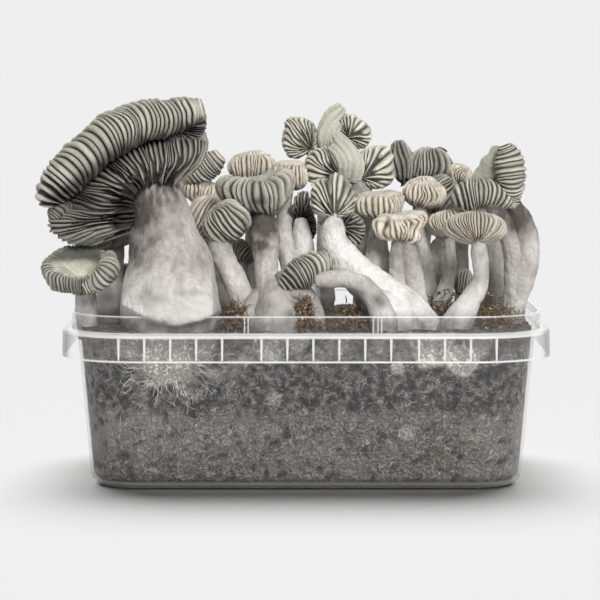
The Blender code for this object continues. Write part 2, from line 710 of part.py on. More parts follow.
def roll_mesh(name, form):
    """A rim folded over: rings round a spine that lies across the view, on a sphere's ends."""
    sections = roll_sections(form)
    rings = len(sections)
    bm = bmesh.new()
    bmesh.ops.create_uvsphere(bm, u_segments=form["around"], v_segments=rings + 1, radius=1.0)
    for vertex in bm.verts:
        way = math.acos(max(-1.0, min(1.0, -vertex.co.z))) / math.pi
        turn = math.atan2(vertex.co.y, vertex.co.x)
        index = round(way * (rings + 1)) - 1
        inner = max(0, min(rings - 1, index))
        here = sections[inner]
        ahead = sections[min(rings - 1, inner + 1)] - sections[max(0, inner - 1)]
        along = Vector(ahead[:3]).normalized()
        across = Vector((0, 1, 0))
        third = along.cross(across).normalized()
        radius = here[3] + form["fold"] * (1 if inner % 2 else -1) * min(1.0, here[3] / 4)
        if index < 0 or index >= rings:
            end = -1 if index < 0 else 1
            vertex.co = (Vector(here[:3]) + along * end * here[3] * 0.55) * MM
        else:
            ring = third * math.cos(turn) + across * math.sin(turn) * form["deep"]
            vertex.co = (Vector(here[:3]) + ring * radius) * MM
    return mesh_from(bm, name)


def lobe_mesh(name, form):
    """A ribbed dome: a sphere with two columns to each gill fold."""
    bm = bmesh.new()
    bmesh.ops.create_uvsphere(bm, u_segments=2 * form["folds"], v_segments=form["rings"], radius=1.0)
    for vertex in bm.verts:
        way = math.acos(max(-1.0, min(1.0, -vertex.co.z))) / math.pi
        turn = math.atan2(vertex.co.y, vertex.co.x) / (2 * math.pi)
        vertex.co = lobe_point(form, turn, way) * MM
    return mesh_from(bm, name)


def cap_parts(name, forms):
    return [(lobe_mesh if form["kind"] == "lobe" else roll_mesh)(name, form) for form in forms]


def cap_slot(name):
    if name in CREAM:
        return "gills_cream"
    if name in DARK:
        return "gills_dark"
    return "gills_grey"


# ---------------------------------------------------------------- the whole kit
def raw_pieces():
    """Each piece as the plain bodies it is joined from, and its material, in the order in which the
    pieces keep their shape: a later one gives way to those before it."""
    stems = {name: [stem_mesh(name, points)] for name, points in STEMS.items()}
    stems["ear_stem"] = [stem_mesh("ear_stem", points) for points in EAR_STEMS]
    made = {"tub": ([tub_shell(), tub_ribs()], "tub_plastic")}
    made["giant_stem"] = (stems.pop("giant_stem"), "stem_flesh")
    made["substrate"] = ([soil_block()] + [clump(*sizes) for sizes in CLUMPS], "substrate")
    for name, parts in stems.items():
        made[name] = (parts, "stem_flesh")
    for name, forms in CAPS.items():
        made[name] = (cap_parts(name, forms), cap_slot(name))
    return made


def main():
    clear_scene()
    kit = new_collection("mushroom_grow_kit")
    new_collection("cutters")
    placed = []
    for name, (parts, slot) in raw_pieces().items():
        whole = booled(parts[0].copy(), [part.copy() for part in parts[1:]], "UNION")
        near = [fattened(other, GAP) for other in placed if boxes_meet(whole, other)]
        add_object(name, booled(whole, near, "DIFFERENCE"), kit, slot)
        placed.extend(parts)


main()
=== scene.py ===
"""The finished look of a mushroom grow kit: a clear tub, standing open, full of a grown-through
substrate, with a flush of folded, gilled mushrooms on thick white stems.

Sizes are in millimetres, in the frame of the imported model: X runs along the tub, the front is
towards -Y, Z is up and the origin is the middle of the tub's base.
"""

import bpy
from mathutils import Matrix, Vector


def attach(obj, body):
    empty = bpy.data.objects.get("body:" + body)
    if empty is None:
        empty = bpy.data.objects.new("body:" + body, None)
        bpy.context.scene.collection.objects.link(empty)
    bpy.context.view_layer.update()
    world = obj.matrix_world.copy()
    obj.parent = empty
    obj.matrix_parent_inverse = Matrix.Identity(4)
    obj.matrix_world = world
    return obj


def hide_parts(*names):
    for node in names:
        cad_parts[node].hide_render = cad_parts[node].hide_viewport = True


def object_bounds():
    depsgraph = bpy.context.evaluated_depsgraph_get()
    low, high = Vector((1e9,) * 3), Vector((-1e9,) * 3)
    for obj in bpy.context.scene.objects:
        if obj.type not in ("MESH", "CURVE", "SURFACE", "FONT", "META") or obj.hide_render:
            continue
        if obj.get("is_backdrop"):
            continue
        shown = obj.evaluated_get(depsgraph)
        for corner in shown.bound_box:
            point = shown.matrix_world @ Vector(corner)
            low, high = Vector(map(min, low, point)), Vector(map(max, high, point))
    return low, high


bl_info = {
    "name": "Mushroom grow kit",
    "version": (1, 0, 0),
    "blender": (4, 5, 0),
    "location": "3D View > Sidebar > Grow kit",
    "description": "Builds the tub, the substrate and the flush of a mushroom grow kit",
    "category": "Add Mesh",
}

import math

import bpy
import numpy as np
from bpy.props import FloatProperty, FloatVectorProperty, IntProperty, PointerProperty

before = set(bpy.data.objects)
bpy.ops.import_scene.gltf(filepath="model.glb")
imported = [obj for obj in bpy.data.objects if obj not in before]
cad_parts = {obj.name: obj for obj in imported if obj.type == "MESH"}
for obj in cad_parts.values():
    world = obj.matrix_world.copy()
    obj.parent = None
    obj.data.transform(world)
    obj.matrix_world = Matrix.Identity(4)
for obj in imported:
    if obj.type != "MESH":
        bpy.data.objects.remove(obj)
CAD_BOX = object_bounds()
MM = 0.001
BODY = "root"
CURVE_STEPS = 24  # between two given points of a curve

# ---------------------------------------------------------------- the stage
BACKDROP, DIM_WORLD = 0.863, 0.04
FLOOR_HALF, FLOOR_GAP = 80, 0.0002  # metres: half its side, and how far it lies below the base
# Lamps: how wide each is, and its tilt about X and Y, in degrees.
LAMPS = {"key": (24, (54, 26)), "fill": (140, (12, 0)), "back": (90, (-50, -30)),
         "floor_wash": (54, (-32, 0))}

CAMERA_AT = (-2.4, -1000, 160)
CAMERA_DOWN = 5.2  # degrees below level
CAMERA_LENS = 148.3
VIEW_FAR = 200  # metres that the camera sees
THROUGH_PLASTIC = 32  # see-through faces that light passes one after another

# ---------------------------------------------------------------- the tub
BASE_HALF = (84.6, 53.1)  # outer half length and half depth where the wall starts
BASE_CORNER = 20
WALL_FLARE = 5.2
WALL_THICK = 1
FLANGE_Z = 61.2
FLANGE_THICK = 1.4
SKIRT_OUT = 5.8
SKIRT_THICK = 1
SKIRT_LOW_Z = 50.6
COLLAR_OUT = 2.1
RIM_Z = 68.2
RIB_PITCH = 9.9
RIB_THICK = 1
RIB_GROUPS = ((-71.7, 5), (-17.1, 6), (43, 4))  # x of each group's first, and how many
CORNER_STEPS = 14
# Opacity of the plastic, from 0 to 1: along the tub's section, and of its ribs, marks and skirt ends.
CLEAR, HAZY, FROSTED, MILKY = 0, 0.05, 0.30, 0.60
# The rim's milk is partly the plastic's own and partly a painted highlight along the rim.
RIM_MILK, RIB_MILK, MARK_MILK, END_MILK = 0.42, 0.62, 0.32, 0.46
# Upright moulded marks on the collar: x and width.
COLLAR_MARKS = ((-23.6, 0.5), (-22.2, 0.5), (25.6, 0.5), (27.4, 0.4), (28.8, 0.5))

# ---------------------------------------------------------------- the substrate
SOIL_OUT = -WALL_THICK - 0.25  # from the wall's outer face to the block's side
SOIL_LOW_Z = 1.4
SOIL_TOP_Z = 61
SOIL_STEP = 0.8  # between the points of its skin
# White patches against the front wall: x, z, radius and strength.
MYCELIUM_PATCHES = (
    (-53, 52, 11.6, 0.8), (-53, 58, 18, 0.4), (-68, 57, 7, 0.5), (-40, 58, 7.5, 0.55),
    (-13.5, 57, 7.5, 0.7), (-3, 58, 4.5, 0.8), (12, 57, 5, 0.4), (35, 47.6, 3, 0.9), (30, 58, 5, 0.4),
    (48.5, 57, 9.5, 1), (60, 51, 6.8, 1), (66, 58, 7, 0.5), (39, 22.5, 3.6, 0.35), (-12, 36, 3, 0.3),
)
SPOT_WHITE = 0.42  # strength of the small patches that are scattered between them
# The pit colour paints shade into the pits sunk into the block's sides.
SOIL_PIT, SOIL_GLOOM = (0.010, 0.011, 0.014), (0.012, 0.014, 0.020)  # colours of its darkest places
DARK_BAND = (27, 34, 50, 56)  # z where the dark band starts and is full, and where it starts to thin
PALE_ENDS = (76, 86)  # x over which the substrate gets paler towards the tub's ends
TOP_SHARES = (1, 0.985, 0.96, 0.92, 0.87, 0.81, 0.75, 0.68, 0.6, 0.5, 0.4, 0.3, 0.2, 0.1, 0.04)
THREAD_STEP = 0.4  # between the places on the wall that threads lie at
THREAD_SIDES = 3
THREAD_Z = (5, 60.4)  # threads end outside these
# Threads that spread from the giant's foot behind the wall: how many, and its x and z.
FOOT_THREADS, FOOT_X, FOOT_Z = 90, -52, 51
STRAW_PER_CRUMB = 3
PALE_CRUMBS = 0.14  # the share of the crumbs that is pale
# Heaps of casing: middle, half sizes and share of the crumbs.
HEAPS = (
    ((-27.6, -47, 65), (5, 4.5, 8.5), 0.15),
    ((-0.4, -53.4, 67.5), (3.6, 2.4, 8), 0.17),
    ((17.5, -44, 65), (6, 5, 7), 0.15),
    ((56, -14, 66.5), (7, 9, 9), 0.12),
    ((53.5, -17.5, 64.5), (6, 3.5, 6), 0.09),
    ((75, -34, 63), (10, 12, 7), 0.14),
    ((73, -14, 65), (8, 8, 8), 0.06),
    ((10, -52, 63), (24, 4, 5), 0.08),
    ((0, 0, 61.5), (78, 46, 2.2), 0.20),
)

# White cottony feet that stems share, as more paths of points.
FEET = {
    "centre_stem": (((-3.5, -41.5, 57, 11), (-3, -41.5, 66, 10.6), (-4.5, -41, 73, 8.4),
        (-7, -40, 79, 5.6), (-9.5, -38.5, 83.5, 3.4)), ((-20, -41.5, 57, 6), (-19.5, -41.5, 67, 6.4),
        (-18, -41, 73, 4.6), (-17, -40, 77, 2.4))),
    "egg_stem": (((36, -41, 57, 8), (36, -41, 63, 8.6), (31, -39.5, 69, 7.6), (26, -37, 74, 5.4)),),
    "striped_stem": (((-24.5, -7, 57, 3.2), (-25, -7, 72, 2.8), (-25.8, -6, 87, 2.2)),),
    "cream_left_stem": (((27, -16, 57, 4.6), (26.4, -15, 72, 4.2), (27.2, -12, 90, 3.2),
        (28.4, -11, 103, 2.4)),),
    "white_button_stem": (((37, -22, 57, 5.4), (36.6, -22, 70, 4.2), (36, -23, 82, 3.4),
        (36.6, -24, 96, 2.6)),),
}

# The giant's foot swells out over the collar: its middle and half width, how far to the front it
# comes, where and how low its lower edge is, how it turns and tucks in below, and where it fades out.
GIANT_LIP = dict(x=-53, half=17, front=-63.2, lowest=-49.5, low=64.4, turn=1.7, tucked=-56.5, high=78,
                 end=90)

# ---------------------------------------------------------------- the stems
STEM_STEP, GIANT_STEP = 0.9, 0.6  # between a stem's rows of points, and the giant's
STEM_POINTS = 6.4  # points round a stem for each millimetre of its radius
# Points from the foot up: x, y, z and radius.
STEMS = {
    "giant_stem": ((-52.5, -41.5, 43.5, 6), (-52.5, -41, 47, 11.5), (-53, -40, 56, 17),
        (-53, -39.5, 66, 20), (-53.2, -38, 74, 19.2), (-53.3, -37, 86, 16.8), (-55.2, -36, 96, 13.9),
        (-56.9, -35.6, 105, 12.2), (-58.7, -35.6, 113, 10.9), (-59.8, -35, 119, 10),
        (-60.6, -33, 124, 8)),
    "left_rear_stem": ((-78.2, -16, 57, 5.6), (-78.2, -16.5, 68, 5.4), (-78.2, -17, 80, 5.2),
        (-77.8, -18, 89, 5.5), (-77.6, -18, 93.4, 5.2)),
    "open_cup_stem": ((-85.6, -33, 57, 4.2), (-86.2, -34, 68, 4.2), (-86.8, -36, 77, 4),
        (-87, -37, 81, 3.8)),
    "tucked_stem": ((-71, 3, 57, 3), (-72, 3, 66, 2.8), (-73, 3, 73, 2.6)),
    "peeping_stem": ((-47.5, 12, 57, 4.6), (-47.8, 12, 76, 4.1), (-47, 13, 93, 3.7),
        (-43.5, 13, 108, 3.3), (-41, 12, 119, 2.9)),
    "pale_left_stem": ((-39, 26, 57, 3.6), (-40.5, 24, 85, 3.1), (-42, 20, 108, 2.6)),
    "buff_stem": ((-34, 4, 57, 4.8), (-35, 2, 76, 4.2), (-38.5, 0, 90, 3.8), (-39.5, 0, 97, 3.2)),
    "striped_stem": ((-18.5, -36, 57, 7), (-22, -34, 67, 5.8), (-26.4, -30, 76, 4.9), (-31, -27, 85, 4.6),
        (-34, -26, 93, 4.6), (-33, -26, 98, 3.4)),
    "centre_stem": ((-9.8, -42.5, 56, 13.2), (-10, -42.2, 64.5, 13.2), (-11.4, -41, 71, 10.4),
        (-13.6, -38, 77, 6.4), (-15.4, -33.5, 84, 4.9), (-16, -28, 92, 5.6), (-16.4, -22.5, 100, 5.4),
        (-17.5, -19, 108, 3.8)),
    "pumpkin_stem": ((-23, 16, 57, 3.8), (-22, 15, 88, 3.2), (-21.7, 13, 120, 2.6)),
    "button_stem": ((-2, -19, 57, 5), (-3.2, -19, 72, 4.5), (-5.8, -17, 83, 4.1), (-8.4, -11, 95, 3.6),
        (-8.6, 0, 108, 3), (-7, 3, 116, 2.4)),
    "star_stem": ((2, -8, 57, 5.8), (0.8, -10, 70, 5.2), (0.2, -12, 83, 4.4), (-1.2, -12.5, 93, 4),
        (-2.2, -11.5, 99, 3.4), (-2.3, -10, 102, 2.4)),
    "egg_stem": ((52, -38, 57.5, 5.5), (40, -36.5, 67.5, 8), (27, -32.5, 76.5, 7.6),
        (16.6, -28.5, 85, 7.1), (11.4, -25.5, 93, 5.8), (10.9, -25.6, 99.2, 4.7),
        (11.2, -25.2, 103.2, 3.2), (11.3, -24.6, 105.6, 1)),
    "arched_stem": ((30.4, -50, 57, 5.4), (29.8, -50, 66, 5.3), (27.4, -49.5, 72.5, 4.6),
        (22.5, -49, 78.4, 3.8), (15.9, -48.5, 81.6, 3.5), (9.3, -48, 81.6, 3.4),
        (3.6, -47.5, 80.6, 2.9)),
    "fan_rear_stem": ((8, 30, 57, 4.2), (8.2, 29, 90, 3.6), (8.4, 26, 130, 2.8)),
    "fan_front_stem": ((23.5, 6, 57, 4.8), (23.8, 5, 85, 4.3), (22.8, 3, 106, 4.8),
        (21.6, 2, 117.5, 4.2)),
    "dusky_stem": ((47, 27, 57, 4.2), (48.5, 26, 92, 3.6), (49, 24, 118, 3)),
    "cream_rear_stem": ((65, 22, 57, 3.2), (64.5, 22, 90, 2.8), (64.8, 20, 119, 2.2)),
    "dark_rear_stem": ((56.5, 13, 57, 3.4), (56, 12, 92, 3), (55.4, 8, 107, 2.8)),
    "cream_left_stem": ((34, -12, 57, 5.6), (33.6, -11, 70, 5), (31, -10, 82, 4.3), (29.3, -10, 93, 3.4),
        (29.5, -10, 105, 2.8)),
    "cream_tall_stem": ((49.8, -8, 57, 5.2), (49.2, -7, 70, 4.4), (48.2, -6, 82, 3.7),
        (46.3, -6, 94, 3.3), (45.9, -6, 110, 2.8)),
    "white_button_stem": ((45.2, -21, 57, 5.4), (44.8, -21, 67, 4.7), (43.6, -22, 76, 4),
        (41.6, -23, 86, 3.6), (39.6, -24, 97, 2.8)),
    "parasol_stem": ((55.6, -43, 56, 6.6), (58.6, -43, 63.5, 6.6), (63.1, -42.5, 71, 4.6),
        (67.4, -42, 79, 3.4), (68, -42, 87, 3.3), (67.2, -42, 93, 3), (66.8, -42, 98, 2)),
    "slim_stem": ((52.6, -14.5, 57, 4.2), (54.6, -14, 71, 3.8), (57, -13, 79, 2.8), (57.6, -12, 88, 2.4),
        (56.9, -12, 99, 2.1)),
    "pale_rear_stem": ((80, 22, 57, 7.8), (80.2, 23, 72, 7.8), (78, 24, 88, 7.2), (73.2, 24, 102, 5.6),
        (71, 24, 108, 4)),
    "wart": ((51.5, 1.5, 57, 3.6), (52, 2, 72, 4.4), (53, 2.5, 84, 4.8), (53.2, 2.5, 90.5, 3.6),
        (53.2, 2.5, 93.6, 1.2)),
    "sprout_stem": ((64.4, -5, 57, 2.4), (64.2, -5, 71, 2)),
}
EAR_STEMS = (
    ((82.6, -15, 57, 5.6), (83.2, -15, 68, 4.9), (85.8, -15, 78, 5.4), (87.8, -15, 86, 5.5),
     (87.8, -15, 94, 5.3), (85.2, -15.5, 102.5, 4.8), (81.6, -16, 110, 3.4)),
    ((82, -16, 57, 4.2), (82.6, -16, 70, 3.8), (82.8, -16.5, 80, 3.8), (82.4, -17, 90, 3.9),
     (80, -17.5, 98, 4.1), (76, -18, 105, 3.9), (73.4, -18, 109.5, 2.6)),
)
# How white and cottony a stem is, and up to which z; how dark and streaked its top is, the darkness
# partly painted shade under its cap.
PLAIN_COTTON, EAR_COTTON = (0.3, 84), (0.4, 84)
COTTON_FADE = 18  # height over which the cotton thins out
COTTON = {"egg_stem": (0.85, 112), "star_stem": (0.7, 108), "parasol_stem": (0.6, 84),
          "giant_stem": (0.45, 88), "centre_stem": (0.25, 84), "wart": (0, 84),
          "open_cup_stem": (0.6, 84), "left_rear_stem": (0.5, 84), "white_button_stem": (0.5, 84)}
PLAIN_TOP, FOOT_TOP = 0.45, 0.5
DARK_TOPS = {"wart": 0, "giant_stem": 0.8, "centre_stem": 0.8, "egg_stem": 0.06, "star_stem": 0.1,
             "arched_stem": 0.2, "parasol_stem": 0.25}
WART_LUMPS = 2.4  # how much lumpier the wart is
STEM_SEED, FOOT_SEED, EAR_SEED, CAP_SEED = 50, 150, 90, 100  # where each kind's random seeds start
# Stain and painted shade where a stem stands in the casing below the collar: fades out up over z, and out
# to the front over y.
STAIN_Z, STAIN_Y = (64, 71), (-61.5, -58.5)
# Stems further back get painted shade low down: from the first y to the second, and up over z.
DIM_Y, DIM_Z = (-24, 6), (66, 98)
# Bruises and dirt on the stems, and painted shade under the caps and on the stems' shaded sides: x, z,
# radius, strength, on the front.
BRUISES = {
    "giant_stem": ((-65, 106, 10, 1.1), (-67.5, 93, 9, 0.8), (-57.5, 97, 7, 0.55),
                   (-60, 76, 7, 0.5), (-68, 80, 5, 0.4), (-54, 110, 6, 0.45),
                   (-42, 88, 5, 0.3), (-50, 70, 9, 0.2)),
    "centre_stem": ((-17, 102, 7, 1.3), (-18, 94, 5.5, 1), (-14, 81, 4, 0.25),
                    (-2, 72, 11, 0.5), (-16, 68, 10, 0.55), (-8, 64, 10, 0.6)),
    "striped_stem": ((-33.5, 80.5, 2.5, 0.45), (-20, 70, 5, 0.25)),
    "arched_stem": ((28, 73.5, 3.4, 1), (20, 76, 6, 0.4)),
    "ear_stem": ((84, 103, 8, 0.9), (79, 104, 6, 0.8), (84.5, 76, 5, 0.3),
                 (88, 84, 5, 0.25)),
    "left_rear_stem": ((-80, 71, 5, 0.3),),
    "open_cup_stem": ((-85, 71, 4, 0.2),),
    "pale_rear_stem": ((76, 96, 9, 0.25),),
}


# ---------------------------------------------------------------- the caps
# Places are x, y, z, and a tint of 1 is the slot's own colour; a lower tint darkens a cap, partly for its
# own colour and partly as painted shade where it lies in shadow. Gills are as deep as "deep" says,
# "plate" is a plate's share of its gill's width, and "crest" is how much of its side stands up to the
# edge.
def dome(at, size, gills, lean=(0, 0), deep=1.4, plate=0.78, foot=0.85, crown=0.85, sunk=0,
         uneven=0.06, phase=0, bare=0.8, lumps=0.09, lump_size=6, wave=(0, 2, 0), tint=0.88, hollow=0):
    """A cap whose gills run up over it from the stem to a bare top."""
    return dict(locals(), kind="dome", crest=0.58, smooth=False)


def fan(at, outline, gills, front, back, deep=1.3, plate=0.75, ruffle=0.6, phase=0, cup=0, tint=0.84,
        crest=0.56, smooth=False):
    """A sheet of gills that faces the front and spreads from the stem's top to an outline."""
    return dict(locals(), kind="fan")


def roll(spine, gills, thick=1, deep=1.3, plate=0.81, slant=0, tint=0.84, lumps=0.08, crest=0.56,
         smooth=False):
    """A rim folded over into a roll, with its gills across it."""
    return dict(locals(), kind="roll", phase=0)


def drape(ribs, gills, thick, deep, plate, crest, tint):
    """A flaring sheet: its gills run along ribs, each from the stem's top out to the rim."""
    return dict(locals(), kind="drape", phase=0)


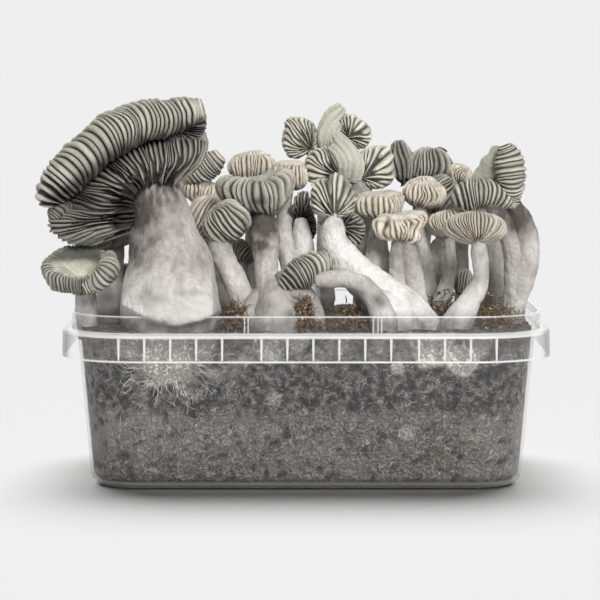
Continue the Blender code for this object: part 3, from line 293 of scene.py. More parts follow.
CAPS = {
    "giant_cap": ("gills_grey", (
        roll(((-100.4, -37, 108.8, 3.2), (-99.4, -37.5, 113.8, 6.2), (-93, -38, 121.6, 8),
            (-84.6, -38, 129.8, 8.6), (-75.2, -38, 137, 8.6), (-64.8, -38, 141.6, 8.3),
            (-54.8, -38, 143.6, 7.6), (-45.8, -38, 145.8, 5.8), (-39.4, -38, 147.4, 3.4)), gills=39,
            thick=1.4, deep=2.3, plate=0.9, crest=0.72, slant=-2.4, tint=0.72, lumps=0.07),
        drape((((-65.6, -37, 99.6), (-74.8, -40, 96.6), (-81.5, -38, 93.6)), ((-65.6, -39.5, 102.1),
            (-79.7, -45, 98.4), (-92.4, -40, 94.6)), ((-66, -41, 104.6), (-82.4, -48, 101.6),
            (-99.8, -41, 99.6)), ((-66.4, -42.5, 107.4), (-81.8, -48, 106), (-100, -40, 104.6)),
            ((-67.2, -43.5, 109.8), (-79, -46.5, 110.6), (-95.2, -35, 110.4)), ((-67, -44.5, 111.8),
            (-76.6, -45, 115.2), (-90.6, -32, 117.4)), ((-66, -45, 113.6), (-73.6, -45.5, 120),
            (-85.4, -30, 124.2)), ((-63.8, -46.2, 116.2), (-69, -47, 124), (-77.6, -29, 130.6)),
            ((-61, -46.4, 117.6), (-64.2, -48, 126), (-69.4, -29, 134.6)), ((-57.9, -46.6, 118.2),
            (-58.9, -49.2, 127), (-61.8, -30, 136.6)), ((-55.2, -46.2, 118.2), (-53.2, -49.8, 127.2),
            (-54.9, -32, 136.6)), ((-53, -45.6, 117.6), (-47.4, -50, 127), (-48, -40, 135.8)),
            ((-51.6, -44.6, 117.2), (-43.1, -50, 127), (-41.6, -44, 136.2)), ((-51, -43, 118),
            (-41.3, -48, 125.6), (-37.8, -44, 134.1)), ((-51, -40, 118.6), (-42.9, -45, 123),
            (-39.1, -42, 128.2))), gills=60, thick=9, deep=2.2, plate=0.69, crest=0.56, tint=0.48),
        fan((-51.5, -38, 139.6), ((-3, 2.6), (4, 5.8), (11.6, 8.2), (13, 4.4), (12.6, -0.6), (10, -4.4),
            (3.5, -4.4), (-3, -3.5)), front=0.6, back=6, gills=40, deep=1.4, plate=0.61, ruffle=0.3,
            tint=0.62),
        dome((-95.8, -38, 107.6), (5.4, 5.4, 4.2), lean=(-38, 0), gills=13, deep=0.7, plate=0.81, bare=1,
            tint=0.42),
        dome((-69, -28.5, 122), (33, 8, 12), lean=(-30, 0), gills=12, deep=0, bare=0, lumps=0.1,
            tint=0.69),
        dome((-84, -33, 104.5), (13, 7, 8), lean=(-12, 0), gills=30, deep=0.8, bare=0.9, tint=0.44),
    )),
    "left_rear_cap": ("gills_grey", (
        dome((-81.5, -18, 94.8), (12.8, 10.6, 3.4), gills=60, deep=0.7, plate=0.81, crown=1, tint=0.74),
    )),
    "open_cup_cap": ("gills_grey", (
        dome((-88.2, -40, 85.4), (12.2, 11.8, 9.6), lean=(-6, 44), gills=58, deep=1, plate=0.81,
            sunk=0.95, crown=0.8, uneven=0.1, phase=0.3, bare=0.78, wave=(0.2, 2, 0.42), tint=0.60,
            lumps=0.14, hollow=1),
        roll(((-86, -50, 77.6, 2), (-80.4, -49, 80.6, 4.2), (-76.8, -45, 85.2, 4.4),
            (-76.6, -38, 90.4, 2.2)), gills=16, deep=1, plate=0.81, tint=0.70),
    )),
    "tucked_cap": ("gills_dark", (
        dome((-74, 3, 77), (5.6, 6, 7.8), gills=20, bare=0.9),
    )),
    "peeping_cap": ("gills_grey", (
        roll(((-48.4, 12, 117, 2), (-45.6, 12, 119, 4.4), (-41, 12, 122.4, 6), (-37.2, 12, 125.2, 5.2),
            (-34.6, 12, 127.6, 2.6)), gills=12, thick=1.1, deep=1.1, tint=0.83),
    )),
    "pale_left_cap": ("gills_cream", (
        dome((-42.4, 17, 112.6), (9.8, 7.6, 5.4), lean=(12, 0), gills=34, uneven=0.1),
    )),
    "buff_cap": ("gills_cream", (
        dome((-39.8, 0, 103.4), (8.4, 7.6, 10), lean=(24, 4), gills=28, phase=0.8, bare=0.9, tint=0.83),
    )),
    "striped_cap": ("gills_grey", (
        dome((-25.6, -6, 89), (5.4, 4.6, 5.2), lean=(28, 0), gills=18, deep=1.2, bare=0.97, tint=0.5),
        dome((-32, -26, 102.4), (9.4, 8.2, 9.2), lean=(-42, 14), gills=24, deep=1.8, plate=0.67,
            phase=0.4, bare=0.96, tint=0.74),
    )),
    "centre_cap": ("gills_grey", (
        dome((-18.6, -19, 114.6), (13.4, 11.5, 10), lean=(-8, 4), gills=30, deep=1.9, plate=0.81,
            sunk=0.5, crown=0.9, uneven=0.12, phase=0.1, bare=0.86, lumps=0.2, lump_size=8,
            wave=(0.22, 2, 0.12), tint=0.66),
    )),
    "pumpkin_cap": ("gills_cream", (
        dome((-21.7, 13, 122.6), (9.2, 8.2, 6.4), gills=30, crown=1, phase=0.3, tint=0.83),
        dome((-20.6, 12, 127), (4.6, 4.4, 2.6), gills=14, deep=0.8, crown=1, bare=0.8, tint=0.96),
    )),
    "button_cap": ("gills_cream", (
        dome((-6.5, 4, 120.2), (7.2, 6.4, 6.8), gills=26, sunk=0.15, crown=1, phase=0.4, bare=0.7),
    )),
    "star_cap": ("gills_dark", (
        fan((-2.5, -5, 101.2), ((-7.8, -3.9), (-7.6, 0.5), (-5.1, 4.9), (-2.7, 6.9), (-1.7, 10.3),
            (1.2, 12.7), (3.7, 11.8), (4.2, 6.9), (6.1, 2), (6.9, -2), (6.1, -6.4), (4.2, -8.8),
            (-3.7, -8.3), (-6.6, -5.9)), front=4.5, back=4, gills=40, deep=1.2, plate=0.65, cup=1,
            tint=0.78),
    )),
    "egg_cap": ("gills_grey", (
        fan((11.1, -21, 104.2), ((-9.4, 6), (-9.4, 10.4), (-7.5, 14.5), (-4.8, 15.8), (-2.7, 14.5),
            (-0.7, 17.4), (2.2, 17.4), (5.5, 14.3), (8.7, 8.9), (8.8, 5.1), (7.5, 1.5), (3.6, -0.2),
            (-2.2, -0.2), (-6.5, -2.7), (-8.5, 1.2)), front=6.5, back=8, gills=38, deep=1.9, plate=0.8,
            phase=0.35, ruffle=0.4, tint=1),
        fan((14.1, -17, 99.4), ((-3, 3), (0.7, 4.8), (4.6, 6.2), (8.7, 3.4), (9.8, -0.5), (9, -4.1),
            (7.2, -7.2), (4.1, -9.6), (0.2, -8), (-3, -4)), front=3.5, back=3, gills=36, deep=1.2,
            plate=0.64, cup=0.8, tint=0.61),
    )),
    "arched_cap": ("gills_grey", (
        roll(((-9.6, -46, 78, 1.8), (-7.4, -46, 79.6, 4.2), (-3.4, -46, 82.8, 5.9), (2.3, -46, 85.8, 6.2),
            (7.6, -46, 87.6, 4.8), (10.4, -46, 88, 2.2)), gills=15, deep=1.5, plate=0.72, slant=-2.2,
            tint=0.77),
    )),
    "fan_rear_cap": ("gills_grey", (
        fan((2.3, 25, 129.7), ((-9.1, -3.5), (-12.1, 1), (-12.6, 3.5), (-11.3, 7.5), (-10.8, 12),
            (-8.5, 13.3), (-5, 13.1), (0, 11.5), (1.8, 9.5), (2, 3.5), (1, -0.5), (-2.5, -2.5),
            (-5, -4.4)), front=4.5, back=3.5, gills=34, deep=1.7, plate=0.79, tint=1, crest=0.66),
        fan((17.4, 25, 134.2), ((-1.5, -1), (-4, 5.5), (-1, 10), (1, 9.8), (5, 7.8), (9.5, 4.4),
            (9.4, -1.5), (7.1, -4.6), (3, -4.4), (-1, -3)), front=4, back=3.5, gills=28, deep=1.6,
            plate=0.79, tint=1, crest=0.64),
        roll(((9.6, 26, 127, 3.4), (8.2, 23.6, 133, 4.2), (9.2, 23, 139.2, 3.8), (12.2, 23.6, 144.2, 3.5),
            (15.2, 24, 147.2, 2.3)), gills=12, smooth=True, thick=0.6, tint=0.94, lumps=0.12),
        roll(((15.5, 26, 127.5, 3.2), (12.6, 22.6, 132, 3.4), (11.6, 22, 136.5, 2.8),
            (13.8, 22.6, 140.6, 1.6)), gills=12, smooth=True, thick=0.6, tint=0.88, lumps=0.12),
    )),
    "fan_front_cap": ("gills_grey", (
        fan((14, 2, 119.5), ((-14.5, 3), (-14.8, 5.9), (-13, 9.4), (-9.3, 11.1), (-5.4, 12.1), (-2, 8.9),
            (-0.5, 6.4), (2.5, 3.5), (3, -1), (-2, -2), (-6.9, -2.6), (-12.3, -3.4), (-14.3, -1)),
            front=4.5, back=3, gills=34, deep=1.7, plate=0.79, tint=1, crest=0.66),
        fan((22.9, 2, 118.6), ((-2.5, 3.9), (-1, 10.8), (1.9, 12), (7.8, 13.3), (11.3, 12.3), (12.8, 3.9),
            (13.3, 0), (11.3, -3), (6.9, -4.6), (2.5, -4), (-2, -2)), front=5, back=3, gills=34, deep=1.7,
            plate=0.79, tint=1, crest=0.64),
        roll(((11.8, 1, 136.6, 1.4), (14, -1, 133.4, 2.8), (17.6, -2, 129, 3.4), (20, -2.4, 123.6, 3.6),
            (19.6, -1, 117, 2.6)), gills=12, smooth=True, thick=0.6, tint=0.92, lumps=0.12),
        roll(((9.8, -1, 131.4, 1.4), (12.6, -3, 128.4, 2.6), (15.2, -3.4, 123.6, 2.8),
            (15.6, -2, 118.6, 2.2)), gills=12, smooth=True, thick=0.6, tint=0.84, lumps=0.12),
    )),
    "dusky_cap": ("gills_dark", (
        dome((51.8, 22, 122.8), (8.6, 7.6, 7.6), lean=(6, 0), gills=26, crown=1, phase=0.3, bare=0.97,
            tint=0.9, lumps=0.14),
        dome((39.8, 22.4, 123.9), (5.2, 5.6, 9), lean=(-8, 0), gills=14, crown=1, bare=0.98, tint=0.69,
            lumps=0.14),
    )),
    "cream_rear_cap": ("gills_cream", (
        dome((63.8, 20, 119.8), (5.4, 5.6, 4.4), lean=(20, 0), gills=22),
    )),
    "dark_rear_cap": ("gills_dark", (
        dome((55.4, 8, 111.4), (7.4, 6.4, 9.2), lean=(30, 0), gills=20, deep=1.6, plate=0.65, bare=0.97),
    )),
    "cream_left_cap": ("gills_cream", (
        dome((30.1, -10, 108.8), (8.9, 8, 6.8), lean=(0, 6), gills=30, sunk=0.2, crown=0.9, phase=0.2,
            bare=0.74, lumps=0.12),
    )),
    "cream_tall_cap": ("gills_cream", (
        dome((47.5, -6, 112.6), (8.8, 7.8, 5.8), lean=(6, 4), gills=30, crown=1, phase=0.7, bare=0.76,
            lumps=0.12, tint=0.90),
        dome((47.8, -6.4, 117.4), (4.6, 4.2, 2.4), gills=14, deep=0.7, crown=1, bare=0.8, tint=0.96),
    )),
    "white_button_cap": ("gills_cream", (
        dome((36.6, -24, 101.6), (9.3, 8, 7), lean=(-8, 6), gills=28, sunk=0.35, crown=0.85, deep=1.2,
            uneven=0.16, phase=0.55, bare=0.66, lumps=0.34, lump_size=4, tint=0.96),
    )),
    "parasol_cap": ("gills_cream", (
        dome((66.4, -41, 100.6), (11.2, 9.2, 6.6), lean=(2, -30), gills=46, crown=0.9, phase=0.15,
            foot=1.25, deep=1.2, lumps=0.1, tint=0.66, bare=0.86),
    )),
    "slim_cap": ("gills_cream", (
        dome((56.8, -12, 101), (9, 7.2, 6), lean=(-6, -22), gills=36, phase=0.5, foot=1.2, deep=1.2,
            tint=0.77),
    )),
    "ear_cap": ("gills_grey", (
        roll(((57.6, -18, 110.4, 2.4), (62, -18, 111.8, 5.8), (69, -18, 113, 6.2),
            (75.4, -18, 112.2, 5.6), (80.4, -18, 110, 4), (83.4, -18, 107.8, 1.8)), gills=19, deep=1.2,
            plate=0.75, slant=-1, tint=0.76),
        roll(((82.4, -18.2, 107.8, 2), (82.2, -18.2, 113, 4.4), (81.6, -18.2, 120.2, 6.1),
            (80.4, -18.2, 127.6, 5.6), (78.6, -18.2, 132.4, 3)), gills=17, deep=1.2, plate=0.75,
            tint=0.83),
        fan((74.4, -14, 121), ((-8.4, -3), (-7.4, 0.6), (-5.4, 3), (-4.2, 6.2), (-1.6, 7.8), (-0.6, 10.8),
            (2.6, 11), (5.5, 4), (5.5, -3), (0, -3.6)), front=1.2, back=3, gills=30, smooth=True,
            ruffle=0.2, tint=0.69),
    )),
    "pale_rear_cap": ("gills_cream", (
        dome((70.6, 24, 111.4), (8.6, 7.8, 5), lean=(-10, 0), gills=30),
    )),
    "sprout_cap": ("gills_grey", (
        dome((64, -5, 76.6), (4, 4.2, 6.4), lean=(8, 0), gills=16, deep=0.9, bare=0.9, tint=0.69),
    )),
}


# Rows of points: of a dome and a fan from foot to end, of a roll round its spine, of a drape down its
# front and its back.
ROWS = {"dome": 27, "fan": 36, "roll": 32}
DRAPE_FRONT, DRAPE_BACK = 30, 9
DRAPE_ROOTS = 1.4  # how far down the longest gills of a drape start on the stem
DOME_TOP = 0.85  # how round a dome's upper half is; its foot value does the lower half
FAN_FRONT = 0.62  # the share of a fan's rows that its front takes
GROOVE_SHARE = 0.62  # of the gills' depth lies below the smooth shape
# Across one gill: place from its middle in plate widths, and height; None takes the cap's own.
PLATE_LINES = ((-0.66, 0.08), (-0.36, None), (0, 1), (0.36, None), (0.66, 0.08))
LINES = 1 + len(PLATE_LINES)  # lines of points to a gill: its groove first, then its plate
# Places on the caps that little light reaches: x, z, half width, half height and strength.
GLOOM = (
    (-97, 112.5, 3.8, 2.6, 0.80), (-92.3, 115.6, 4, 2.8, 0.85), (-87.6, 118.2, 4, 2.8, 0.85),
    (-83.4, 121.4, 4, 2.8, 0.85), (-78.6, 125, 4, 2.8, 0.85), (-74, 128.6, 4, 2.8, 0.85),
    (-69.4, 131.8, 4, 2.6, 0.85), (-62.3, 134.4, 4.4, 2.2, 0.85), (-54.6, 136.2, 4.4, 2, 0.85),
    (-87.5, 111.4, 8, 3.8, 0.80), (-44.6, 138.8, 6.2, 3.2, 0.97),
    (-71.7, 109.6, 2.7, 5.5, 0.60), (-18.6, 110.4, 4, 2, 0.80), (-2, 100.4, 3.6, 4.8, 0.55),
    (-88, 92, 9.4, 2, 0.60), (70.6, 123.1, 3.2, 4.8, 0.30), (2.9, 134.2, 1.7, 5.4, 0.60),
    (9.3, 119.4, 1.6, 5.3, 0.60), (17.8, 113.8, 1.8, 4, 0.50), (16.1, 138.3, 1.7, 4.1, 0.50),
    (-39.5, 100.7, 2.4, 5.5, 0.30),
)

# ---------------------------------------------------------------- what a user may change
def colour(name, about, value):
    return FloatVectorProperty(name=name, description=about, subtype="COLOR", size=3, min=0, max=1,
                               default=value)


class KitSizes(bpy.types.PropertyGroup):
    gill_depth: FloatProperty(name="Gill depth", description="How deep the gills stand, as a share",
                              default=1.45, min=0.2, max=2.0, subtype="FACTOR")
    stem_bumps: FloatProperty(name="Stem bumps", description="How lumpy the stems are, as a share",
                              default=1.0, min=0.0, max=3.0, subtype="FACTOR")
    threads: IntProperty(name="Threads", description="Mycelium threads against the wall",
                         default=2400, min=0, max=6000)
    crumbs: IntProperty(name="Crumbs", description="Loose crumbs of casing", default=2700, min=0,
                        max=6000)
    key_power: FloatProperty(name="Key light", description="Strength of the main lamp", default=3.0,
                             min=0.0, max=20.0)
    fill_power: FloatProperty(name="Fill light", description="Strength of the light all round",
                              default=0.82, min=0.0, max=5.0)
    back_power: FloatProperty(name="Back light", description="Strength of the lamp behind", default=1.0,
                              min=0.0, max=5.0)
    floor_power: FloatProperty(name="Floor light", description="Strength of the lamp on the floor",
                               default=3.85, min=0.0, max=20.0)


class KitColours(bpy.types.PropertyGroup):
    flesh: colour("Flesh", "White flesh of the stems", (0.665, 0.628, 0.587))
    flesh_shade: colour("Flesh shade", "Greyer flesh between the fibres", (0.27, 0.243, 0.218))
    # The bruise colour also paints shade on the stems.
    bruise: colour("Bruise", "Bruised flesh", (0.08, 0.069, 0.061))
    cotton: colour("Cotton", "Cottony white flesh at the feet", (0.84, 0.815, 0.79))
    # Gill grooves: their own dark colour and painted shade; gill edges: their own pale colour and painted
    # highlight.
    grey_edge: colour("Grey gill edge", "Edges of the grey gills", (0.90, 0.88, 0.825))
    grey_side: colour("Grey gill side", "Sides of the grey gills", (0.44, 0.43, 0.388))
    grey_groove: colour("Grey gill groove", "Grooves between the grey gills", (0.014, 0.014, 0.015))
    cream_edge: colour("Cream gill edge", "Edges of the cream gills", (0.96, 0.93, 0.87))
    cream_side: colour("Cream gill side", "Sides of the cream gills", (0.65, 0.59, 0.515))
    cream_groove: colour("Cream gill groove", "Grooves between the cream gills", (0.11, 0.086, 0.066))
    dark_edge: colour("Dark gill edge", "Edges of the dark gills", (0.74, 0.715, 0.66))
    dark_side: colour("Dark gill side", "Sides of the dark gills", (0.24, 0.23, 0.212))
    dark_groove: colour("Dark gill groove", "Grooves between the dark gills", (0.006, 0.007, 0.008))
    cap_skin: colour("Cap skin", "Bare skin of the caps", (0.56, 0.56, 0.505))
    soil: colour("Substrate", "Substrate between the threads", (0.080, 0.072, 0.066))
    mycelium: colour("Mycelium", "Threads and patches of mycelium", (0.54, 0.515, 0.475))
    casing: colour("Casing", "Brown casing on top of the substrate", (0.15, 0.104, 0.062))
    plastic: colour("Plastic", "Milky tint of the tub", (0.90, 0.90, 0.885))
    floor: colour("Floor", "Floor under the kit", (0.80, 0.80, 0.80))


def plate_lines(form, along, rng, closed):
    """Lines of a gilled grid: for each line and each place along it, where it is and how high.

    Places are in gills, all round where closed.
    """
    count, plate = form["gills"], form["plate"]
    widths = np.exp(rng.normal(0, 0.34, count))
    ends = np.cumsum(widths) / widths.sum() * count
    starts = ends - widths / widths.sum() * count
    index = np.arange(count)[:, None]
    near = np.stack(np.broadcast_arrays(along * 6.0, index * 3.7, form["phase"] * 50.0), -1)
    far = np.stack(np.broadcast_arrays(along * 2.2, index * 0.21, form["phase"] * 31.0), -1)
    wave = 0.55 * (smooth_noise(near, 1.0, 3) - 0.5)
    drift = 2.6 * (smooth_noise(far, 1.0, 5) - 0.5)  # neighbouring gills bend together
    inward = np.minimum(index, count - 1 - index)
    drift = drift * (ease(0.0, 4.0, count - 1 - index) if closed else ease(-0.5, 3.0, inward))
    middle = (starts + ends)[:, None] / 2 + wave + drift
    if closed:
        before = np.concatenate([middle[-1:] - count, middle[:-1]])
        after = np.concatenate([middle[1:], middle[:1] + count])
    else:
        before = np.concatenate([2 * middle[:1] - middle[1:2], middle[:-1]])
        after = np.concatenate([middle[1:], 2 * middle[-1:] - middle[-2:-1]])
    room = np.maximum(np.stack([middle - before, after - middle]) / 2, 0.02)
    lean = rng.uniform(-0.2, 0.2, count)[:, None] * room.min(0)
    crest = 1 - 0.36 * smooth_noise(near + 9.0, 0.8, 11)
    places = [middle - room[0]]
    rises = [np.zeros_like(middle)]
    for offset, height in PLATE_LINES:
        inner = height in (None, 1)
        beside = min(2 * abs(offset) * plate, 0.96) * room[0 if offset < 0 else 1]
        places.append(middle + np.sign(offset) * beside + (lean if inner else 0.0))
        rises.append(crest * (form["crest"] if height is None else height))
    shade = np.repeat(rng.uniform(0, 1, count), LINES)[:, None]
    places = np.stack(places, 1).reshape(count * LINES, -1)
    rises = np.stack(rises, 1).reshape(count * LINES, -1)
    return places, rises, shade


# ---------------------------------------------------------------- noise
def hashed(x, y, z, seed):
    """A fixed number from 0 to 1 for each whole place."""
    bits = (x * 73856093) ^ (y * 19349663) ^ (z * 83492791) ^ (seed * 40503 + 977)
    bits = ((bits ^ (bits >> 13)) * 1274126177) & 0x7FFFFFFF
    return ((bits ^ (bits >> 16)) & 0xFFFF) / 65535.0


def smooth_noise(points, size, seed):
    """Soft lumps of about a size, from 0 to 1, at points in millimetres."""
    scaled = np.asarray(points, float) / size
    cell = np.floor(scaled).astype(np.int64)
    part = scaled - cell
    part = part * part * (3 - 2 * part)
    total = 0.0
    for corner in range(8):
        step = np.array([corner & 1, corner >> 1 & 1, corner >> 2 & 1])
        weight = np.prod(np.where(step == 1, part, 1 - part), axis=-1)
        spot = cell + step
        total = total + weight * hashed(spot[..., 0], spot[..., 1], spot[..., 2], seed)
    return total


def rough_noise(points, size, seed, octaves=3):
    """Noise with finer noise laid over it, from 0 to 1."""
    shares = [0.5 ** octave for octave in range(octaves)]
    layers = [share * smooth_noise(points, size * share, seed + 17 * i) for i, share in enumerate(shares)]
    return sum(layers) / sum(shares)


def ease(low, high, value):
    """0 below low, 1 above high, smooth between."""
    share = np.clip((value - low) / (high - low), 0.0, 1.0)
    return share * share * (3 - 2 * share)


# ---------------------------------------------------------------- meshes from grids of points
def skin(grid, marks):
    """A closed body over rows of points that run round it, drawn together at both ends."""
    rows, count, _ = grid.shape
    points = np.concatenate([grid.reshape(-1, 3), grid[:1].mean(1), grid[-1:].mean(1)])
    shades = np.concatenate([marks.reshape(-1, marks.shape[-1]), marks[:1].mean(1), marks[-1:].mean(1)])
    here = np.arange(rows * count).reshape(rows, count)
    beside = np.roll(here, -1, axis=1)
    quads = np.stack([here[:-1], beside[:-1], beside[1:], here[1:]], -1).reshape(-1, 4)
    low, high = rows * count, rows * count + 1
    foot = np.stack([beside[0], here[0], np.full(count, low)], -1)
    head = np.stack([here[-1], beside[-1], np.full(count, high)], -1)
    corners = points[quads]
    across = np.cross(corners[:, 2] - corners[:, 0], corners[:, 3] - corners[:, 1])
    middle = points.mean(0)
    if np.sum(across * (corners.mean(1) - middle)) < 0:
        quads, foot, head = quads[:, ::-1], foot[:, ::-1], head[:, ::-1]
    return dict(points=points, faces=quads.tolist() + foot.tolist() + head.tolist(), marks=shades)


def piece(name, bodies, material, sharp=None):
    """An object joined from bodies; their marks become the colour layer that the material reads."""
    points, faces, marks, start = [], [], [], 0
    for body in bodies:
        points.append(body["points"])
        marks.append(body["marks"])
        faces.extend([[corner + start for corner in face] for face in body["faces"]])
        start += len(body["points"])
    mesh = bpy.data.meshes.new(name)
    mesh.from_pydata(np.concatenate(points) * MM, [], faces)
    layer = mesh.attributes.new("marks", "FLOAT_COLOR", "POINT")
    marks = np.concatenate(marks)
    rgba = np.ones((len(marks), 4), np.float32)
    rgba[:, :marks.shape[1]] = marks
    layer.data.foreach_set("color", rgba.ravel())
    mesh.shade_smooth()
    if sharp:
        mesh.set_sharp_from_angle(angle=math.radians(sharp))
    mesh.materials.append(material)
    made = bpy.data.objects.new(name, mesh)
    bpy.context.scene.collection.objects.link(made)
    return made


def keep(made, slot, *nodes):
    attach(made, BODY)
    for node in nodes:
        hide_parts(node)
    return made


def unit(vectors):
    """The same directions with a length of 1."""
    return vectors / np.maximum(np.linalg.norm(vectors, axis=-1, keepdims=True), 1e-9)


def lengths_along(rows):
    """How far along a line of points each one is."""
    return np.concatenate([[0], np.cumsum(np.linalg.norm(np.diff(rows[:, :3], axis=0), axis=1))])


def spread(rows, along, wanted):
    """The rows between a line's points, at wanted lengths along it."""
    return np.stack([np.interp(wanted, along, rows[:, i]) for i in range(rows.shape[1])], -1)


def smooth_path(points, count):
    """Evenly spread samples of a smooth curve through points."""
    rows = np.array(points, float)
    rows = np.concatenate([[2 * rows[0] - rows[1]], rows, [2 * rows[-1] - rows[-2]]])
    found = []
    for before, start, end, after in zip(rows, rows[1:], rows[2:], rows[3:]):
        t = np.linspace(0, 1, CURVE_STEPS, endpoint=False)[:, None]
        found.append(0.5 * (2 * start + (end - before) * t
                            + (2 * before - 5 * start + 4 * end - after) * t ** 2
                            + (3 * start - before - 3 * end + after) * t ** 3))
    found = np.concatenate(found + [rows[-2:-1]])
    along = lengths_along(found)
    return spread(found, along, np.linspace(0, along[-1], count))


def path_sides(path):
    """The direction across a path, from front to back, and the one square to it and to the path."""
    ahead = unit(np.gradient(path[:, :3], axis=0))
    across = unit(np.array([0.0, 1.0, 0.0]) - ahead * ahead[:, 1:2])
    return across, np.cross(across, ahead)


def rings_round(across, third, count):
    """Outward directions round a path."""
    turns = np.arange(count) / count * 2 * np.pi
    return third[:, None] * np.cos(turns)[None, :, None] + across[:, None] * np.sin(turns)[None, :, None]


def grid_normals(grid):
    """Outward directions at the points of a closed grid."""
    round_it = np.roll(grid, -1, axis=1) - np.roll(grid, 1, axis=1)
    up_it = np.gradient(grid, axis=0)
    normal = unit(np.cross(round_it, up_it))
    outward = np.sum(normal * (grid - grid.reshape(-1, 3).mean(0)))
    return normal if outward > 0 else -normal


# ---------------------------------------------------------------- gills
def short_gills(form, reach, rng):
    """How much of each gill stands at each place: every other gill starts away from the stem."""
    count = form["gills"]
    index = np.arange(count)
    start = np.where(index % 2 == 1, rng.uniform(0.30, 0.6, count),
                     np.where(index % 4 == 2, rng.uniform(0.10, 0.3, count), -0.2))
    stand = rng.uniform(0.66, 1.0, count)[:, None] * ease(start[:, None], start[:, None] + 0.2, reach)
    return np.repeat(stand, LINES, axis=0)


def lean_matrix(lean):
    right, near = (math.radians(angle) for angle in lean)
    cosine, sine = math.cos(right), math.sin(right)
    turn_right = np.array([[cosine, 0, sine], [0, 1, 0], [-sine, 0, cosine]])
    cosine, sine = math.cos(near), math.sin(near)
    turn_near = np.array([[1, 0, 0], [0, cosine, -sine], [0, sine, cosine]])
    return turn_right @ turn_near


def dome_places(form, turn, way):
    """Points of a smooth dome: turn goes round it, way goes from its foot to its crown."""
    wide, deep, tall = form["size"]
    angle = 2 * np.pi * turn
    out = np.sin(np.pi * way) ** np.where(way < 0.5, form["foot"], DOME_TOP)
    up = -np.cos(np.pi * way)
    phase = 2 * np.pi * form["phase"]
    plan = 1 + form["uneven"] * (np.sin(2 * angle + phase) + 0.6 * np.sin(3 * angle - phase))
    sink = form["sunk"] * (1 - np.sin(np.pi * way)) ** 1.5 * up * 1.6
    up = np.where(up > 0, form["crown"] * up - sink, up)
    amount, count, turned = form["wave"]
    up = up + amount * np.sin(count * angle + 2 * np.pi * turned) * out ** 2
    place = np.stack(np.broadcast_arrays(
        np.cos(angle) * wide * plan * out, np.sin(angle) * deep * plan * out, tall * up), -1)
    lump = smooth_noise(place + 40 * form["phase"], form["lump_size"], 71) - 0.5
    place = place * (1 + 2 * form["lumps"] * lump[..., None])
    return place @ lean_matrix(form["lean"]).T + np.array(form["at"])


def outline_reach(outline, angle):
    """Distance from a fan's foot to its outline at an angle."""
    points = np.array(outline, float)
    angles = np.arctan2(points[:, 1], points[:, 0])
    order = np.argsort(angles)
    angles, reaches = angles[order], np.linalg.norm(points, axis=1)[order]
    wrapped = np.mod(angle + np.pi, 2 * np.pi) - np.pi
    angles = np.concatenate([angles - 2 * np.pi, angles, angles + 2 * np.pi])
    return np.interp(wrapped, angles, np.tile(reaches, 3))


def fan_places(form, turn, way):
    """Points of a smooth fan: way goes from the foot out over the front and back behind."""
    angle = 2 * np.pi * turn
    front = way <= FAN_FRONT
    share = np.where(front, np.sin(np.pi / 2 * way / FAN_FRONT),
                     np.cos(np.pi / 2 * (way - FAN_FRONT) / (1 - FAN_FRONT)))
    reach = sum(outline_reach(form["outline"], angle + shift) for shift in (-0.05, 0.0, 0.05)) / 3
    dished = np.sqrt(np.maximum(1 - share ** 2, 0))
    flared = share ** 1.3 * np.sqrt(np.maximum(1 - share ** 6, 0))
    bulge = form["cup"] * flared + (1 - form["cup"]) * dished
    relief = np.where(front, -form["front"] * bulge, form["back"] * dished)
    ruffle = form["ruffle"] * share ** 2 * np.sin(5 * angle + 6.0 * form["phase"])
    x, y, z = form["at"]
    place = np.stack(np.broadcast_arrays(
        x + reach * share * np.cos(angle), y + relief + ruffle, z + reach * share * np.sin(angle)), -1)
    lump = smooth_noise(place + 40 * form["phase"], 6.0, 73) - 0.5
    return place + np.array([0.0, 1.0, 0.0]) * (lump * share * 1.6)[..., None]


def gill_marks(height, bare, form, base, shade):
    """Marks of a gilled skin: gill height, bare skin, shade, and a tint that holds painted shade."""
    tone = 0.55 * rough_noise(base, 7.0, 21, 2) + 0.45 * shade
    lit = np.full_like(tone, form["tint"])
    facing = ease(-10.0, -7.0, base[..., 1].mean() - base[..., 1])
    for x, z, wide, tall, strength in GLOOM:
        away = ((base[..., 0] - x) / wide) ** 2 + ((base[..., 2] - z) / tall) ** 2
        lit = lit * (1 - strength * facing * np.exp(-away))
    parts = (height, bare, tone, lit)
    return np.stack(np.broadcast_arrays(*parts), -1)


def gilled_skin(form, places_of, reach_of, rng, depth_scale):
    """A dome or a fan with plates standing on it."""
    ways = (np.arange(ROWS[form["kind"]]) + 0.5) / ROWS[form["kind"]]
    places, rises, shade = plate_lines(form, ways[None, :], rng, True)
    reach, gilled = reach_of(ways)
    height = rises * short_gills(form, reach[None, :], rng)
    places, height, shade = places.T, height.T, shade.T
    base = places_of(form, places / form["gills"], ways[:, None])
    cover = np.broadcast_to(gilled[:, None], height.shape)
    if form["kind"] == "dome":
        ragged = 0.07 * (smooth_noise(np.stack([places, places * 0, places * 0], -1), 1.3, 9) - 0.5)
        cover = 1 - ease(form["bare"] - 0.07, form["bare"], ways[:, None] + ragged)
        cover = cover * ease(0.0, 0.12, ways[:, None])
    if form["smooth"]:
        cover = cover * 0.0
    depth = form["deep"] * depth_scale
    grid = base + grid_normals(base) * ((height - GROOVE_SHARE) * cover * depth)[..., None]
    marks = gill_marks(height * cover, 1 - cover, form, base, shade)
    # Inside a hollow cap the bare skin is painted pale at its floor and darker up its inner wall, as
    # painted shade.
    inside = (1 - cover) * form.get("hollow", 0)
    wall = ease(0.5, 3.5, base[..., 2] - form["at"][2])
    marks[..., 3] += (1.05 - 0.90 * wall - marks[..., 3]) * inside
    return skin(grid, marks)


